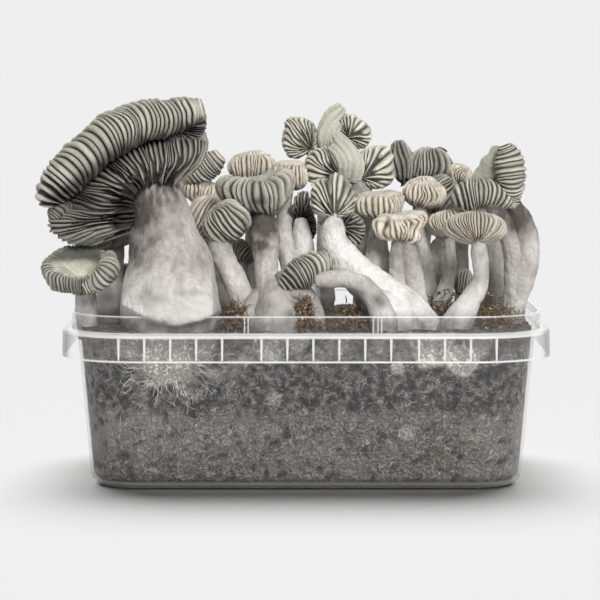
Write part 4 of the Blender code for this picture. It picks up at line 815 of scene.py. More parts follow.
def dome_reach(ways):
    return np.sin(np.pi * np.minimum(ways, 0.5)), np.ones_like(ways)


def fan_reach(ways):
    share = np.sin(np.pi / 2 * np.minimum(ways / FAN_FRONT, 1.0))
    return share, 1 - ease(FAN_FRONT - 0.01, FAN_FRONT + 0.05, ways)


def gilled_roll(form, rng, depth_scale):
    """A roll with plates standing across it."""
    around = ROWS["roll"]
    turns = np.arange(around) / around * 2 * np.pi
    count = form["gills"]
    path = smooth_path(form["spine"], 400)
    across, third = path_sides(path)
    places, rises, shade = plate_lines(form, np.sin(turns)[None, :] * 0.4, rng, False)
    index = np.arange(count)
    ends = np.repeat(ease(-0.5, 4.0, np.minimum(index, count - 1 - index)), LINES)[:, None]
    places = (places + ends * form["slant"] * np.sin(turns)) / count
    rises = rises * np.repeat(rng.uniform(0.62, 1.0, count), LINES)[:, None]
    at = np.clip(places, 0.004, 0.996) * (len(path) - 1)
    low = np.floor(at).astype(int)
    part = (at - low)[..., None]

    def mix(rows):
        return rows[low] * (1 - part) + rows[low + 1] * part

    centre = mix(path)
    cosine, sine = np.cos(turns)[None, :, None], np.sin(turns)[None, :, None]
    outward = mix(third) * cosine + mix(across) * sine * form["thick"]
    lump = smooth_noise(centre[..., :3] + outward * 4.0 + 40 * form["phase"], 7.0, 75) - 0.5
    depth = form["deep"] * depth_scale * np.clip(centre[..., 3] / 5.0, 0.3, 1.0)
    if form["smooth"]:
        # A smooth roll's flutes: the shade mark darkens their hollows as painted shade.
        folds = 0.5 + 0.5 * np.sin(6 * turns + 2.5 * np.sin(at / 90.0))
        depth, rises, shade = 0.7, folds, 1.1 * (1 - folds)
    radius = centre[..., 3] * (1 + 2 * form["lumps"] * lump) + (rises - GROOVE_SHARE) * depth
    grid = centre[..., :3] + outward * radius[..., None]
    return skin(grid, gill_marks(rises, np.full_like(rises, form["smooth"]), form, grid, shade))


def gilled_drape(form, rng, depth_scale):
    """A flaring sheet with plates along its ribs; its back is smooth."""
    count = form["gills"]
    ribs = np.array(form["ribs"], float)
    fine = np.stack([smooth_path(ribs[:, i], 300) for i in range(3)], 1)
    along = np.linspace(0, 1, DRAPE_FRONT)
    places, rises, shade = plate_lines(form, along[None, :], rng, False)
    reach = short_gills(form, along[None, :], rng)
    at = np.clip(places / count, 0.0, 0.9999) * 299
    low = np.floor(at).astype(int)
    part = (at - low)[..., None]
    inner, middle, outer = (fine[low, i] * (1 - part) + fine[low + 1, i] * part for i in range(3))
    roots = np.repeat(rng.uniform(-0.4, 1, count), LINES)[:, None]
    inner[..., 2] -= DRAPE_ROOTS * np.clip(roots, 0, 1) * np.sin(np.pi * np.clip(places / count, 0, 1))
    t = along[None, :, None]
    control = 2 * middle - (inner + outer) / 2
    front = inner * (1 - t) ** 2 + control * 2 * t * (1 - t) + outer * t ** 2
    normal = unit(np.cross(np.gradient(front, axis=1), np.gradient(front, axis=0)))
    normal *= -np.sign(np.sum(normal[..., 1]))
    index = np.arange(count)
    edge = np.repeat(ease(-0.5, 1.5, np.minimum(index, count - 1 - index)), LINES)[:, None]
    height = rises * reach
    envelope = edge * ease(-0.04, 0.10, along)[None, :]
    depth = form["deep"] * depth_scale
    front = front + normal * ((height - GROOVE_SHARE) * envelope * depth)[..., None]
    back_share = np.linspace(0, 1, DRAPE_BACK + 2)[1:-1]
    rim, foot = front[:, -1:, :], front[:, :1, :]
    s = back_share[None, :, None]
    back = rim * (1 - s) + foot * s
    back = back + np.array([0.0, form["thick"], 0.0]) * (np.sin(np.pi * s) * edge[:, :, None])
    grid = np.concatenate([front, back], 1)
    heights = np.concatenate([height, np.full((len(height), DRAPE_BACK), 0.55)], 1)
    marks = gill_marks(heights, np.zeros_like(heights), form, grid, shade)
    return skin(grid, marks)


def gilled_body(form, seed, depth_scale):
    rng = np.random.default_rng(seed)
    if form["kind"] == "roll":
        return gilled_roll(form, rng, depth_scale)
    if form["kind"] == "drape":
        return gilled_drape(form, rng, depth_scale)
    if form["kind"] == "fan":
        return gilled_skin(form, fan_places, fan_reach, rng, depth_scale)
    return gilled_skin(form, dome_places, dome_reach, rng, depth_scale)


def grow_caps(names):
    sizes = bpy.context.scene.kit_sizes
    order = list(CAPS)
    for name in names:
        slot, forms = CAPS[name]
        seed = CAP_SEED + 10 * order.index(name)
        bodies = [gilled_body(form, seed + i, sizes.gill_depth) for i, form in enumerate(forms)]
        keep(piece(name + "_gills", bodies, finish(slot)), slot, name)


# ---------------------------------------------------------------- stems
def swell_lip(grid, outward, lip):
    """Pushes a stem's front out over the collar, with a curved lower edge, and tucks it in below."""
    x, z = grid[..., 0], grid[..., 2]
    low = lip["low"] + 4.4 * ((x - lip["lowest"]) / lip["half"]) ** 2
    low = low + 1.6 * (smooth_noise(grid, 5.0, 61) - 0.5)
    facing = ease(0.0, 0.4, -outward[..., 1])
    over = ease(low, low + lip["turn"], z) * (1 - ease(lip["high"], lip["end"], z))
    over = over * (1 - ease(lip["half"], lip["half"] + 3.0, abs(x - lip["x"]))) * facing
    target = lip["front"] + 3.0 * (abs(x - lip["x"]) / lip["half"]) ** 3
    pushed = np.minimum(grid[..., 1], target + 1.6 * (rough_noise(grid, 4.0, 63) - 0.5))
    grid[..., 1] += (pushed - grid[..., 1]) * over
    under = (1 - ease(low - 1.0, low + 0.4, z)) * facing
    grid[..., 1] += (np.maximum(grid[..., 1], lip["tucked"]) - grid[..., 1]) * under
    return grid


def stem_body(points, bruises, seed, bumps, cottony, dark_top=FOOT_TOP, lip=None):
    """A fleshy tube with soft lumps and fibres; marks are bruise with painted shade, fibre, tone and
    cotton.
    """
    length = sum(math.dist(a[:3], b[:3]) for a, b in zip(points, points[1:]))
    widest = max(point[3] for point in points)
    rows = max(24, int(length / (GIANT_STEP if lip else STEM_STEP)))
    count = max(30, int(widest * STEM_POINTS))
    path = smooth_path(points, rows)
    outward = rings_round(*path_sides(path), count)
    base = path[:, None, :3] + outward * path[:, None, 3:]
    lumps = rough_noise(base, max(3.0, widest * 0.9), seed, 3) - 0.5
    fine = rough_noise(base, 1.6, seed + 9, 2) - 0.5
    stretched = base * np.array([1.0, 1.0, 0.3 if lip else 0.14])
    fibres = rough_noise(stretched, 1.2, seed + 5, 2) - 0.5
    cotton, cotton_top = cottony
    low = 1 - ease(cotton_top - COTTON_FADE, cotton_top, base[..., 2])  # 1 at the foot
    swell = bumps * (lumps * min(0.24 * widest, 2.4) + fibres * 0.4 + fine * (0.22 + 0.6 * low * cotton))
    grid = base + outward * swell[..., None]
    if lip:
        grid = swell_lip(grid, outward, lip)
    blotch = 0.35 + 1.3 * rough_noise(base, 3.0, seed + 11, 3)
    bruise = np.zeros(base.shape[:2])
    for x, z, radius, strength in bruises:
        away = np.hypot(base[..., 0] - x, base[..., 2] - z) / radius
        bruise = np.maximum(bruise, strength * np.exp(-away ** 2 * 1.1) * blotch)
    patchy = 0.3 * ease(0.5, 0.8, rough_noise(base, 6.0, seed + 17, 3))
    share = np.linspace(0, 1, rows)[:, None]
    streak = ease(0.35, 0.75, fibres + 0.5 + 0.3 * ease(0.85, 1.0, share))
    # Dark streaks at the top: partly the gills' roots, partly painted shade under the cap.
    throat = ease(0.64, 0.95, share) * (0.2 + 0.8 * streak)
    # Soil stain and painted shade low on the stems, behind the collar.
    stain = (1 - ease(*STAIN_Z, grid[..., 2])) * (0.8 + 0.6 * (blotch - 1.0))
    stain = stain * ease(*STAIN_Y, grid[..., 1])
    # Painted shade low on the stems further back.
    dim = 0.26 * ease(*DIM_Y, base[..., 1]) * (1 - ease(*DIM_Z, base[..., 2]))
    bruise = np.maximum(bruise, dim * blotch) + patchy + throat * dark_top
    bruise = np.clip(np.maximum(bruise, stain * 0.85), 0, 1)
    white = np.clip(cotton * low * 1.2, 0, 1)
    marks = np.stack([bruise, fibres + 0.5, rough_noise(base, 9.0, seed + 3, 3), white], -1)
    return skin(grid, marks)


# ---------------------------------------------------------------- the tub
def ring(out, z, from_z=None):
    """Points of an outline round the tub that stands out from the wall's outer face at a height."""
    flare = WALL_FLARE * (z if from_z is None else from_z) / FLANGE_Z
    half_x, half_y = BASE_HALF[0] + flare + out, BASE_HALF[1] + flare + out
    corner = BASE_CORNER + flare + out
    places = []
    for quarter, (side_x, side_y) in enumerate(((1, 1), (-1, 1), (-1, -1), (1, -1))):
        for step in range(CORNER_STEPS + 1):
            angle = math.pi / 2 * (quarter + step / CORNER_STEPS)
            places.append((side_x * (half_x - corner) + corner * math.cos(angle),
                           side_y * (half_y - corner) + corner * math.sin(angle), z))
    return np.array(places)


def closed_ring(out, z):
    """The same outline with its first point again at the end."""
    outline = ring(out, z)
    return np.concatenate([outline, outline[:1]])


def plain_marks(points):
    return np.zeros((*points.shape[:-1], 3))


def tub_profile():
    """The wall's section from the middle of the base, out and up, and back down inside."""
    top, under = FLANGE_Z, FLANGE_Z - FLANGE_THICK
    skirt, collar, low, rim = SKIRT_OUT, COLLAR_OUT, SKIRT_LOW_Z, RIM_Z
    skirt_in = skirt - SKIRT_THICK
    outside = [(-12, 0), (-4.4, 0), (-3, 0.25), (-1.6, 0.95), (-0.6, 2), (-0.1, 3.4), (0, 5), (0, 20),
               (0, 40)]
    rows = [(ring(out, z), FROSTED if z < 3.0 else CLEAR) for out, z in outside]
    rows += [(ring(out, z, top), milk) for out, z, milk in (
        (0.0, under - 0.3, HAZY), (0.3, under, HAZY), (skirt_in - 0.3, under, HAZY),
        (skirt_in, under - 0.3, CLEAR), (skirt_in + 0.3, low + 0.9, CLEAR),
        (skirt_in + 0.3, low + 0.4, MILKY), (skirt_in + 0.5, low, MILKY), (skirt + 0.1, low, MILKY),
        (skirt + 0.3, low + 0.3, MILKY), (skirt + 0.25, low + 0.7, CLEAR), (skirt, top - 1.5, CLEAR),
        (skirt, top - 1.1, MILKY), (skirt - 0.25, top - 0.35, MILKY), (skirt - 0.8, top, MILKY),
        (skirt - 1.8, top, MILKY), (collar + 1.2, top, MILKY), (collar + 0.5, top, MILKY),
        (collar + 0.12, top + 0.15, MILKY), (collar, top + 0.6, HAZY), (collar, top + 1.2, CLEAR),
        (collar, rim - 1.3, CLEAR), (collar, rim - 0.7, HAZY), (collar + 0.12, rim - 0.45, RIM_MILK),
        (collar, rim - 0.1, RIM_MILK), (collar - 0.5, rim, RIM_MILK), (collar - 1.0, rim - 0.1, RIM_MILK),
        (collar - 1.15, rim - 0.5, CLEAR), (collar - 1.05, top + 0.5, CLEAR), (collar - 1.3, top, HAZY),
        (-WALL_THICK + 0.2, top - 0.6, HAZY), (-WALL_THICK, top - 1.2, CLEAR))]
    inside = [(-WALL_THICK, 40), (-WALL_THICK, 20), (-WALL_THICK, 5), (-1.5, 2.9), (-2.6, 1.8),
              (-4.6, 1.2), (-12, 1.2)]
    rows += [(ring(out, z), CLEAR) for out, z in inside]
    marks = np.zeros((len(rows), rows[0][0].shape[0], 3))
    marks[..., 0] = np.array([milk for _, milk in rows])[:, None]
    points = np.stack([points for points, _ in rows])
    at_the_end = ease(84.0, 92.0, abs(points[..., 0])) * (points[..., 2] < SKIRT_LOW_Z + 1.0)
    marks[..., 0] *= 1 - 0.9 * at_the_end * (points[..., 2] > SKIRT_LOW_Z - 1.0)
    out = abs(points[..., 0]) - BASE_HALF[0] - WALL_FLARE
    skirt_end = ease(1.0, 4.6, out) * (points[..., 2] > SKIRT_LOW_Z - 1.0) * (points[..., 1] < 20.0)
    marks[..., 0] = np.maximum(marks[..., 0], END_MILK * skirt_end)
    marks[..., 1] = skirt_end
    return points, marks


def milky(body, share):
    """The same body in plastic of an opacity."""
    body["marks"][..., 0] = share
    return body


def block(low, high):
    """A small box from one corner to the other."""
    corners = np.array([[(low, high)[i][0], (low, high)[j][1], (low, high)[k][2]]
                        for k in (0, 1) for j in (0, 1) for i in (0, 1)], float)
    faces = [[0, 2, 3, 1], [4, 5, 7, 6], [0, 1, 5, 4], [2, 6, 7, 3], [0, 4, 6, 2], [1, 3, 7, 5]]
    return dict(points=corners, faces=faces, marks=plain_marks(corners))


def outline_y(x, out):
    """Half depth of the outline that stands out from the wall's top, at a place along X."""
    corner = BASE_CORNER + WALL_FLARE + out
    past = max(0.0, abs(x) - (BASE_HALF[0] + WALL_FLARE + out - corner))
    return BASE_HALF[1] + WALL_FLARE + out - corner + math.sqrt(corner ** 2 - past ** 2)


def gusset(x, side):
    """A wedge that braces the skirt: full width under the flange, a point at the skirt's foot."""
    top, low = FLANGE_Z - FLANGE_THICK + 0.3, SKIRT_LOW_Z + 0.8
    inner, outer = outline_y(x, 0.3), outline_y(x, SKIRT_OUT - SKIRT_THICK + 0.35)
    half = RIB_THICK / 2
    rows = [(x - half, inner, top), (x - half, outer, top), (x - half * 0.6, outer, low),
            (x + half, inner, top), (x + half, outer, top), (x + half * 0.6, outer, low)]
    points = np.array([(px, side * py, pz) for px, py, pz in rows])
    faces = [[0, 1, 2], [3, 5, 4], [0, 3, 4, 1], [1, 4, 5, 2], [2, 5, 3, 0]]
    if side > 0:
        faces = [face[::-1] for face in faces]
    return dict(points=points, faces=faces, marks=plain_marks(points))


def collar_mark(x, width, side):
    face = outline_y(x, COLLAR_OUT)
    low, high = sorted((side * (face - 0.2), side * (face + 0.22)))
    return block((x - width / 2, low, FLANGE_Z + 0.2), (x + width / 2, high, RIM_Z - 0.5))


# ---------------------------------------------------------------- the substrate
def soil_body():
    """The block of substrate: its sides pressed to the wall, its top crumbly."""
    along = lengths_along(closed_ring(SOIL_OUT, 0))
    count = int(along[-1] / SOIL_STEP)
    wanted = np.arange(count) / count * along[-1]
    places = [(-9.0, SOIL_LOW_Z), (-5.2, SOIL_LOW_Z), (SOIL_OUT - 2.0, SOIL_LOW_Z + 0.8),
              (SOIL_OUT - 0.6, SOIL_LOW_Z + 2.0)]
    places += [(SOIL_OUT, z) for z in np.arange(SOIL_LOW_Z + 3.2, SOIL_TOP_Z - 0.6, SOIL_STEP)]
    places.append((SOIL_OUT, SOIL_TOP_Z))
    *rows, top = (spread(closed_ring(out, z), along, wanted) for out, z in places)
    rows += [top * np.array([share, share, 1.0]) for share in TOP_SHARES]
    grid = np.stack(rows)
    side = grid[..., 2] < SOIL_TOP_Z - 0.4
    pits = ease(0.52, 0.8, rough_noise(grid, 2.6, 31, 3))
    outward = unit(grid * np.array([1.0, 1.0, 0.0]))
    grid = grid - outward * np.where(side, 1.1 * pits, 0.0)[..., None]
    grid[..., 2] += np.where(side, 0.0, rough_noise(grid, 5.0, 33, 3) * 3.2 - 1.0)
    return skin(grid, soil_marks(grid, pits))


def soil_marks(grid, pits):
    """Marks of the substrate: white mycelium, pits, haze and darkness."""
    x, y, z = grid[..., 0], grid[..., 1], grid[..., 2]
    white = np.zeros(x.shape)
    front = y < 0
    ragged = 1 + 0.6 * (rough_noise(grid, 5.0, 41, 4) - 0.5)
    for patch_x, patch_z, radius, strength in MYCELIUM_PATCHES:
        away = np.hypot(x - patch_x, z - patch_z) / (radius * ragged)
        white = np.maximum(white, np.where(front, strength * (1 - ease(0.78, 1.04, away)), 0.0))
    spots = ease(0.58, 0.84, rough_noise(grid, 9.0, 47, 4)) * ease(30.0, 52.0, z)
    white = np.maximum(white, SPOT_WHITE * spots)
    cloud = 0.5 + 1.35 * (rough_noise(grid * np.array([1.0, 1.0, 1.7]), 13.0, 43, 4) - 0.5)
    band = ease(*DARK_BAND[:2], z) * (1 - 0.5 * ease(*DARK_BAND[2:], z))
    foot = (1 - ease(8.0, 20.0, z)) * (1 - ease(-40.0, 10.0, x))
    ends = ease(*PALE_ENDS, abs(x) - 0.06 * z)
    haze = np.clip(0.56 + 1.5 * (cloud - 0.5) - 0.50 * band - 0.16 * foot + 0.6 * ends, 0, 1)
    dark = np.clip(band + 0.40 * foot, 0, 1)
    over = z > SOIL_TOP_Z - 0.5
    white, haze, dark = np.where(over, 0.0, white), np.where(over, 0.1, haze), np.where(over, 0.45, dark)
    return np.stack([white, pits, haze, dark], -1)


def thread_body(points, radius, shade=(0, 0, 0)):
    """A fine thread: a thin tapering tube."""
    path = np.array(points, float)
    path[1:-1] = (path[:-2] + 2 * path[1:-1] + path[2:]) / 4
    ahead = unit(np.gradient(path, axis=0))
    across = unit(np.cross(ahead, np.array([0.0, 1.0, 0.0]) + 0.01))
    taper = radius * np.sqrt(np.clip(1.08 - np.linspace(-1, 1, len(path)) ** 2, 0.05, 1))
    outward = rings_round(np.cross(ahead, across), across, THREAD_SIDES)
    grid = path[:, None] + outward * taper[:, None, None]
    return skin(grid, np.broadcast_to(np.array(shade, float), grid.shape).copy())


def wall_loop():
    """Points round the substrate's foot, and how far its side leans out over each, evenly spread."""
    low, high = closed_ring(SOIL_OUT, 0), closed_ring(SOIL_OUT, FLANGE_Z)
    outward = (high - low) * np.array([1.0, 1.0, 0.0])
    along = lengths_along(low)
    wanted = np.arange(0, along[-1], THREAD_STEP)
    return spread(low, along, wanted), spread(outward, along, wanted)


def twig_body(rng, at, length, radius):
    """A bent bit of straw or root."""
    heading = rng.normal(0, 1, 3) * np.array([1.0, 0.7, 0.8])
    heading /= np.linalg.norm(heading)
    point, points = np.array(at, float), []
    for _ in range(8):
        points.append(point.copy())
        heading += rng.normal(0, 0.22, 3)
        heading /= np.linalg.norm(heading)
        point = point + heading * length / 8
    return thread_body(points, radius, (0.0, 0.0, rng.uniform(0.2, 1.0)))


def wall_thread(rng, loop, at, z, angle, length, radius, bend):
    """A thread that wanders over the substrate's side, from a place along the loop."""
    places, lean = loop
    points = []
    steps = max(5, int(length / 0.8))
    for _ in range(steps):
        if not THREAD_Z[0] < z < THREAD_Z[1]:
            break
        i = int(round(at / THREAD_STEP)) % len(places)
        stand = lean[i] * (z / FLANGE_Z) + lean[i] / np.linalg.norm(lean[i]) * 0.05
        points.append(places[i] + stand + np.array([0.0, 0.0, z]))
        angle += rng.normal(0, bend)
        at += math.cos(angle) * length / steps
        z += math.sin(angle) * length / steps
    return thread_body(points, radius) if len(points) > 3 else None


# ---------------------------------------------------------------- casing crumbs
def crumb_body(rng, at, size):
    """An angular crumb: a lumpy little ball."""
    rows, count = 4, 6
    ways = (np.arange(rows) + 0.5) / rows
    turns = np.arange(count) / count * 2 * np.pi
    ways, turns = np.meshgrid(ways, turns, indexing="ij")
    ball = np.stack([np.sin(np.pi * ways) * np.cos(turns), np.sin(np.pi * ways) * np.sin(turns),
                     -np.cos(np.pi * ways)], -1)
    stretch = rng.uniform(0.6, 1.4, 3)
    grid = ball * stretch * size * rng.uniform(0.7, 1.15, (rows, count, 1)) + np.array(at)
    tone = np.full((rows, count, 3), 0.0)
    tone[..., 2] = rng.uniform(0, 1)
    tone[..., 0] = rng.uniform(0, 1) > 1 - PALE_CRUMBS
    return skin(grid, tone)


# ---------------------------------------------------------------- materials
def add(tree, kind, inputs, **settings):
    """A new shader node; each of its inputs takes a value or the socket of another node."""
    made = tree.nodes.new("ShaderNode" + kind)
    for name, value in settings.items():
        setattr(made, name, value)
    for name, value in inputs.items():
        if isinstance(value, bpy.types.NodeSocket):
            tree.links.new(value, made.inputs[name])
        else:
            made.inputs[name].default_value = value
    return made


def new_material(name, roughness, specular=0.5):
    made = bpy.data.materials.new(name)
    made.use_nodes = True
    shader = made.node_tree.nodes["Principled BSDF"]
    shader.inputs["Roughness"].default_value = roughness
    shader.inputs["Specular IOR Level"].default_value = specular
    return made, made.node_tree, shader


def mottle_group():
    """Soft blotches with finer ones in them, as a value from 0 to 1."""
    found = bpy.data.node_groups.get("mottle")
    if found:
        return found
    group = bpy.data.node_groups.new("mottle", "ShaderNodeTree")
    for name, value in (("Scale", 100.0), ("Stretch", 1.0), ("Low", 0.35), ("High", 0.65)):
        socket = group.interface.new_socket(name, in_out="INPUT", socket_type="NodeSocketFloat")
        socket.default_value = value
    group.interface.new_socket("Value", in_out="OUTPUT", socket_type="NodeSocketFloat")
    start = group.nodes.new("NodeGroupInput").outputs
    place = add(group, "TexCoord", {}).outputs["Object"]
    stretch = add(group, "CombineXYZ", {"X": 1.0, "Y": 1.0, "Z": start["Stretch"]}).outputs["Vector"]
    scaled = add(group, "VectorMath", {0: place, 1: stretch}, operation="MULTIPLY").outputs["Vector"]
    noise = add(group, "TexNoise", {"Vector": scaled, "Scale": start["Scale"], "Detail": 4.0,
                                    "Roughness": 0.6}).outputs["Fac"]
    eased = span(group, noise, start["Low"], start["High"])
    group.links.new(eased, group.nodes.new("NodeGroupOutput").inputs["Value"])
    return group


def mottle(tree, scale, stretch, low, high):
    inputs = {"Scale": scale, "Stretch": stretch, "Low": low, "High": high}
    return add(tree, "Group", inputs, node_tree=mottle_group()).outputs["Value"]


def mixed(tree, share, first, second, blend="MIX"):
    """A colour between two; each may be a colour or a socket."""
    inputs = {0: share, 6: first, 7: second}
    for side in (6, 7):
        if not isinstance(inputs[side], bpy.types.NodeSocket):
            inputs[side] = (*inputs[side][:3], 1.0)
    return add(tree, "Mix", inputs, data_type="RGBA", blend_type=blend).outputs[2]


def math_node(tree, operation, *values, clamp=False):
    return add(tree, "Math", dict(enumerate(values)), operation=operation, use_clamp=clamp).outputs[0]


def times(tree, first, second):
    return math_node(tree, "MULTIPLY", first, second)


def laid(tree, base, mask, share, colour):
    """A base with a colour laid over it where a mask says, at most by a share."""
    return mixed(tree, times(tree, mask, share), base, colour)


def span(tree, value, low, high):
    """A value eased from 0 at low to 1 at high."""
    inputs = {"Value": value, "From Min": low, "From Max": high}
    return add(tree, "MapRange", inputs, interpolation_type="SMOOTHSTEP").outputs["Result"]


def ridges(tree, scale, sharpness):
    """Thin winding lines, as a value from 0 to 1."""
    place = add(tree, "TexCoord", {}).outputs["Object"]
    noise = add(tree, "TexNoise", {"Vector": place, "Scale": scale, "Detail": 2.0, "Distortion": 0.8})
    away = math_node(tree, "ABSOLUTE", math_node(tree, "SUBTRACT", noise.outputs["Fac"], 0.5))
    return math_node(tree, "SUBTRACT", 1.0, times(tree, away, sharpness), clamp=True)


def marks_of(tree):
    """The four marks that the mesh carries."""
    layer = add(tree, "Attribute", {}, attribute_name="marks").outputs
    split = add(tree, "SeparateColor", {"Color": layer["Color"]}).outputs
    return split["Red"], split["Green"], split["Blue"], layer["Alpha"]


def bump(tree, shader, height, distance, strength=1.0):
    made = add(tree, "Bump", {"Height": height, "Distance": distance, "Strength": strength})
    tree.links.new(made.outputs["Normal"], shader.inputs["Normal"])


def darker(value, share):
    return tuple(channel * share for channel in value)


def gill_material(name, groove, side, edge, bare):
    """Gills from dark grooves to pale edges, and the caps' bare skin; the tint mark darkens both.

    The grooves' darkness is partly painted shade and the edges' paleness partly painted highlight;
    the tint mark holds painted shade as well.
    """
    made, tree, shader = new_material(name, 0.72, 0.25)
    height, skin_share, tone, tint = marks_of(tree)
    grain = mottle(tree, 900.0, 0.5, 0.3, 0.7)
    blotch = mottle(tree, 120.0, 1.0, 0.4, 0.75)
    # The ramp over gill height paints shade into the grooves and a highlight along the edges.
    plate = mixed(tree, span(tree, height, 0.04, 0.46), groove, side)
    plate = mixed(tree, span(tree, height, 0.36, 0.92), plate, edge)
    plate = laid(tree, plate, span(tree, tone, 0.35, 0.95), 0.34, darker(side, 0.8))
    plate = laid(tree, plate, blotch, 0.22, darker(side, 0.55))
    plate = laid(tree, plate, grain, 0.14, side)
    top = laid(tree, bare, blotch, 0.5, darker(bare, 0.72))
    top = laid(tree, top, span(tree, tone, 0.4, 0.9), 0.6, darker(bare, 0.5))
    # The tint mark scales the colour: partly the caps' own tint, partly painted shade.
    tinge = mixed(tree, tint, (0.04, 0.045, 0.05), (1.12, 1.09, 1.02))
    base = mixed(tree, 1.0, mixed(tree, skin_share, plate, top), tinge, "MULTIPLY")
    tree.links.new(base, shader.inputs["Base Color"])
    bump(tree, shader, grain, 0.00025)
    return made


def flesh_material(name):
    """White fibrous flesh with bruises and painted shade, and cottony feet."""
    colours = bpy.context.scene.kit_colours
    made, tree, shader = new_material(name, 0.68, 0.3)
    bruise, fibre, tone, cotton = marks_of(tree)
    cloud = mottle(tree, 60.0, 0.6, 0.35, 0.75)
    fine = mottle(tree, 460.0, 0.8, 0.32, 0.70)
    fluff = mottle(tree, 800.0, 1.0, 0.3, 0.7)
    shade = colours.flesh_shade
    base = laid(tree, colours.flesh, span(tree, tone, 0.35, 0.75), 0.55, shade)
    base = laid(tree, base, cloud, 0.35, shade)
    base = laid(tree, base, fine, 0.34, shade)
    base = laid(tree, base, fluff, 0.22, colours.cotton)
    base = mixed(tree, math_node(tree, "SUBTRACT", 0.60, fibre, clamp=True), base, shade)
    white = laid(tree, colours.cotton, fluff, 0.4, darker(colours.cotton, 0.62))
    base = mixed(tree, cotton, base, white)
    # Bruises, dirt and painted shade in the bruise colour.
    tree.links.new(mixed(tree, bruise, base, colours.bruise), shader.inputs["Base Color"])
    bump(tree, shader, fine, 0.0004, 0.8)
    return made


def soil_material(name):
    """Dark crumbs and pits, webbed over with fine threads and whiter patches of mycelium."""
    colours = bpy.context.scene.kit_colours
    soil, mycelium = colours.soil, colours.mycelium
    made, tree, shader = new_material(name, 0.8)
    white, pit, haze, dark = marks_of(tree)
    crumbs = mottle(tree, 720.0, 1.0, 0.43, 0.58)
    grit = mottle(tree, 1900.0, 1.0, 0.46, 0.60)
    clump = mottle(tree, 360.0, 1.0, 0.44, 0.60)
    tinge = mottle(tree, 90.0, 1.0, 0.4, 0.7)
    veil = mottle(tree, 150.0, 1.0, 0.3, 0.7)
    ground = mixed(tree, crumbs, darker(soil, 0.12), darker(soil, 3.0))
    ground = laid(tree, ground, grit, 0.5, darker(soil, 5.0))
    ground = laid(tree, ground, clump, 0.5, darker(soil, 0.3))
    ground = laid(tree, ground, tinge, 0.22, darker(colours.casing, 1.3))
    lines = math_node(tree, "MAXIMUM", ridges(tree, 380.0, 40.0), ridges(tree, 800.0, 26.0))
    ground = laid(tree, ground, times(tree, lines, veil), 0.75, darker(mycelium, 0.95))
    ground = laid(tree, ground, span(tree, haze, 0.2, 0.9), 0.62, darker(mycelium, 0.46))
    # Painted shade in the pits.
    ground = laid(tree, ground, pit, 0.85, SOIL_PIT)
    ground = laid(tree, ground, times(tree, dark, clump), 0.92, SOIL_GLOOM)
    speck = laid(tree, darker(mycelium, 1.25), crumbs, 0.5, darker(mycelium, 0.42))
    tree.links.new(mixed(tree, white, ground, speck), shader.inputs["Base Color"])
    bump(tree, shader, crumbs, 0.0008)
    return made


def casing_material(name):
    """Brown crumbs and straw, each with a tone of its own, and a few pale ones."""
    colours = bpy.context.scene.kit_colours
    made, tree, shader = new_material(name, 0.9)
    pale, _, tone, _ = marks_of(tree)
    grit = mottle(tree, 1200.0, 1.0, 0.3, 0.7)
    base = mixed(tree, tone, darker(colours.casing, 0.16), darker(colours.casing, 3.4))
    base = laid(tree, base, grit, 0.5, darker(colours.casing, 0.5))
    tree.links.new(mixed(tree, pale, base, colours.mycelium), shader.inputs["Base Color"])
    bump(tree, shader, grit, 0.0004)
    return made


def thread_material(name):
    """Fine white threads that get greyer in places."""
    mycelium = bpy.context.scene.kit_colours.mycelium
    made, tree, shader = new_material(name, 0.85)
    frayed = mottle(tree, 300.0, 1.0, 0.4, 0.6)
    base = mixed(tree, frayed, darker(mycelium, 1.25), darker(mycelium, 0.34))
    tree.links.new(base, shader.inputs["Base Color"])
    return made


def plastic_material(name):
    """Clear, slightly milky plastic: see-through face on, whiter where it is seen edge on.

    The whitening edge on is partly the plastic's milkiness and partly painted highlight.
    """
    plastic = bpy.context.scene.kit_colours.plastic
    made, tree, shader = new_material(name, 0.2)
    milk, grey, _, _ = marks_of(tree)
    base = mixed(tree, mottle(tree, 30.0, 1.0, 0.3, 0.8), plastic, darker(plastic, 0.92))
    tree.links.new(mixed(tree, grey, base, darker(plastic, 0.34)), shader.inputs["Base Color"])
    # Whiter edge on: partly milkiness, partly painted highlight.
    facing = add(tree, "LayerWeight", {"Blend": 0.5}).outputs["Facing"]
    alpha = math_node(tree, "MULTIPLY_ADD", math_node(tree, "POWER", facing, 4.0), 0.28, 0.014)
    alpha = math_node(tree, "ADD", alpha, milk, clamp=True)
    tree.links.new(alpha, shader.inputs["Alpha"])
    shader.inputs["IOR"].default_value = 1.49
    return made


def floor_material(name):
    """A pale matt floor, very slightly uneven."""
    floor = bpy.context.scene.kit_colours.floor
    made, tree, shader = new_material(name, 1.0, 0.0)
    base = mixed(tree, mottle(tree, 4.0, 1.0, 0.2, 0.8), floor, darker(floor, 0.995))
    tree.links.new(base, shader.inputs["Base Color"])
    return made


def finish(slot):
    """The material of a slot, made once."""
    found = bpy.data.materials.get("finish_" + slot)
    if found:
        return found
    c = bpy.context.scene.kit_colours
    name = "finish_" + slot
    if slot == "gills_grey":
        return gill_material(name, c.grey_groove, c.grey_side, c.grey_edge, c.cap_skin)
    if slot == "gills_cream":
        return gill_material(name, c.cream_groove, c.cream_side, c.cream_edge, c.flesh)
    if slot == "gills_dark":
        return gill_material(name, c.dark_groove, c.dark_side, c.dark_edge, c.grey_side)
    makers = {"stem_flesh": flesh_material, "substrate": soil_material, "tub_plastic": plastic_material,
              "casing": casing_material, "threads": thread_material, "floor": floor_material}
    return makers[slot](name)


